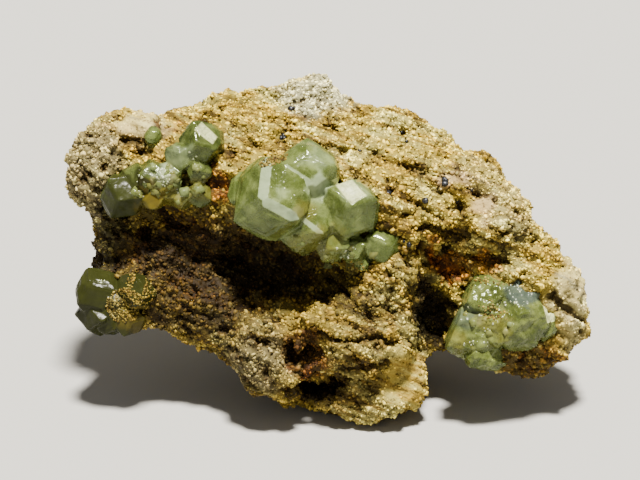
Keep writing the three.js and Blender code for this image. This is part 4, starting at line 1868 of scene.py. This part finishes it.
GRAIN_COATS = (
    ("grains_front_coarse", 15500, 0.4, (0.13, 0.32), True, 11),
    ("grains_front_fine", 16500, 0.3, (0.09, 0.18), True, 12),
    ("grains_back_coarse", 16500, 0.48, (0.15, 0.34), False, 13),
    ("grains_back_fine", 16500, 0.36, (0.1, 0.2), False, 14),
)
# Frosting values also paint a sheen, deep values darken each crystal by a random share as painted
# shade, and the painted highlight is off.
DRUSE_LOOKS = (
    ("frost_and_sheen", 0, 0.3),
    ("amber", 0, 0.6),
    ("blue", 0, 0),
    ("deep", 0, 0.3),
    ("painted_highlight", 0, 0),
)
# Low relief values, the painted shade and a tone held low paint these grains darker as painted
# shade; earth gives them their brown.
CLINGING_LOOKS = (("relief", 0.2, 0.6), ("tone", 0, 0.6), ("earth", 0.3, 1.0), ("gloom", 0, 0.6))


def garnet_clusters() -> list[GarnetCluster]:
    """List the clusters, each with the finish and the growth that it has.

    Returns:
        The clusters, not built yet.
    """
    olive = GarnetFinish("garnet_olive").material()
    # A darker copy of the garnet finish, as painted shade, for the lower-left cluster that lies in
    # shade.
    deep = GarnetFinish(
        "garnet_painted_shade", milk=tint(42, 46, 16), pale_milk=tint(66, 70, 30), depth=900.0, cloud=0.6
    ).material()
    band = GarnetFinish(
        "garnet_band", milk=tint(58, 68, 26), pale_milk=tint(92, 102, 52)
    ).material()
    pale = GarnetFinish(
        "garnet_pale",
        milk=tint(78, 88, 38),
        pale_milk=tint(122, 132, 70),
        cloud=0.5,
        roughness=0.12,
    ).material()
    large = Growth(edge=0.1, contour=0.08, smoothing=2)
    small = Growth(voxel=0.08, contour=0.05, contour_size=1.1, etching=0.03, edge=0.05)
    etched = Growth(contour=0.16, contour_size=1.3, etching=0.13, smoothing=4, edge=0.2)
    return [
        GarnetCluster(
            "garnet_cluster_centre",
            olive,
            large,
            banded=CENTRE_BANDS,
            patches=CENTRE_PATCHES,
            facets=CENTRE_FACETS,
            seed=3,
        ),
        GarnetCluster(
            "garnet_cluster_upper_left",
            band,
            small,
            patches=UPPER_LEFT_PATCHES,
            facets=UPPER_LEFT_FACETS,
            seed=5,
        ),
        GarnetCluster("garnet_crystal_upper_left", olive, small, seed=6),
        GarnetCluster(
            "garnet_cluster_lower_left", deep, small, patches=LOWER_LEFT_PATCHES, seed=8
        ),
        GarnetCluster(
            "garnet_cluster_right",
            pale,
            etched,
            patches=RIGHT_PATCHES,
            facets=RIGHT_FACETS,
            cuts=RIGHT_CUTS,
            seed=9,
        ),
    ]


def small_pieces(
    crystals: list[bpy.types.Object], rock: bpy.types.Object, grains: bpy.types.Material
) -> list[SmallCrystals]:
    """List the small crystals and grains that lie on the clusters and the rock.

    Args:
        crystals: The finished clusters.
        rock: The finished rock.
        grains: The finish of the rock's grains.

    Returns:
        The groups, not built yet, in the order in which they are set.
    """
    olive, oxide = bpy.data.materials["garnet_olive"], OxideFinish().material()
    return [
        SmallCrystals(
            "garnet_glints", crystals, SparkleFinish().material(), "garnet", GLINT_ZONES,
            (0.08, 0.22), 27, sunk=0.5, wobble=0.05,
        ),
        SmallCrystals(
            "clinging_grains", crystals, grains, "matrix_stone", CLINGING_ZONES,
            (0.07, 0.17), 25, CLINGING_LOOKS, sunk=0.1,
        ),
        SmallCrystals(
            "garnet_druse", [*crystals, rock], olive, "garnet", DRUSE_ZONES,
            (0.3, 0.75), 21, DRUSE_LOOKS, sunk=0.5, wobble=0.15,
        ),
        SmallCrystals(
            "oxide_grains", [rock], oxide, "matrix_stone", OXIDE_ZONES,
            (0.18, 0.4), 23, sunk=-0.1, angular=False,
        ),
    ]


def main() -> None:
    """Build and dress the whole specimen."""
    logging.basicConfig(level=logging.INFO, format="%(name)s: %(message)s")
    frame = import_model()
    nodes = frame["nodes"]
    crystals = [cluster.build(nodes[cluster.node]) for cluster in garnet_clusters()]
    # The rock under the grains is darkened as painted shade in the gaps between them.
    rock = MatrixRock(MatrixFinish("matrix_rock", shade=0.4).material(), crystals)
    rock = rock.build(nodes["matrix"])
    grains = MatrixFinish("matrix_grains", grit=0.3).material()
    for name, *settings in GRAIN_COATS:
        GrainCoat(name, rock, crystals, grains, *settings).build()
    for group in small_pieces(crystals, rock, grains):
        group.build()
    Studio().build()


if __name__ == "__main__":
    main()
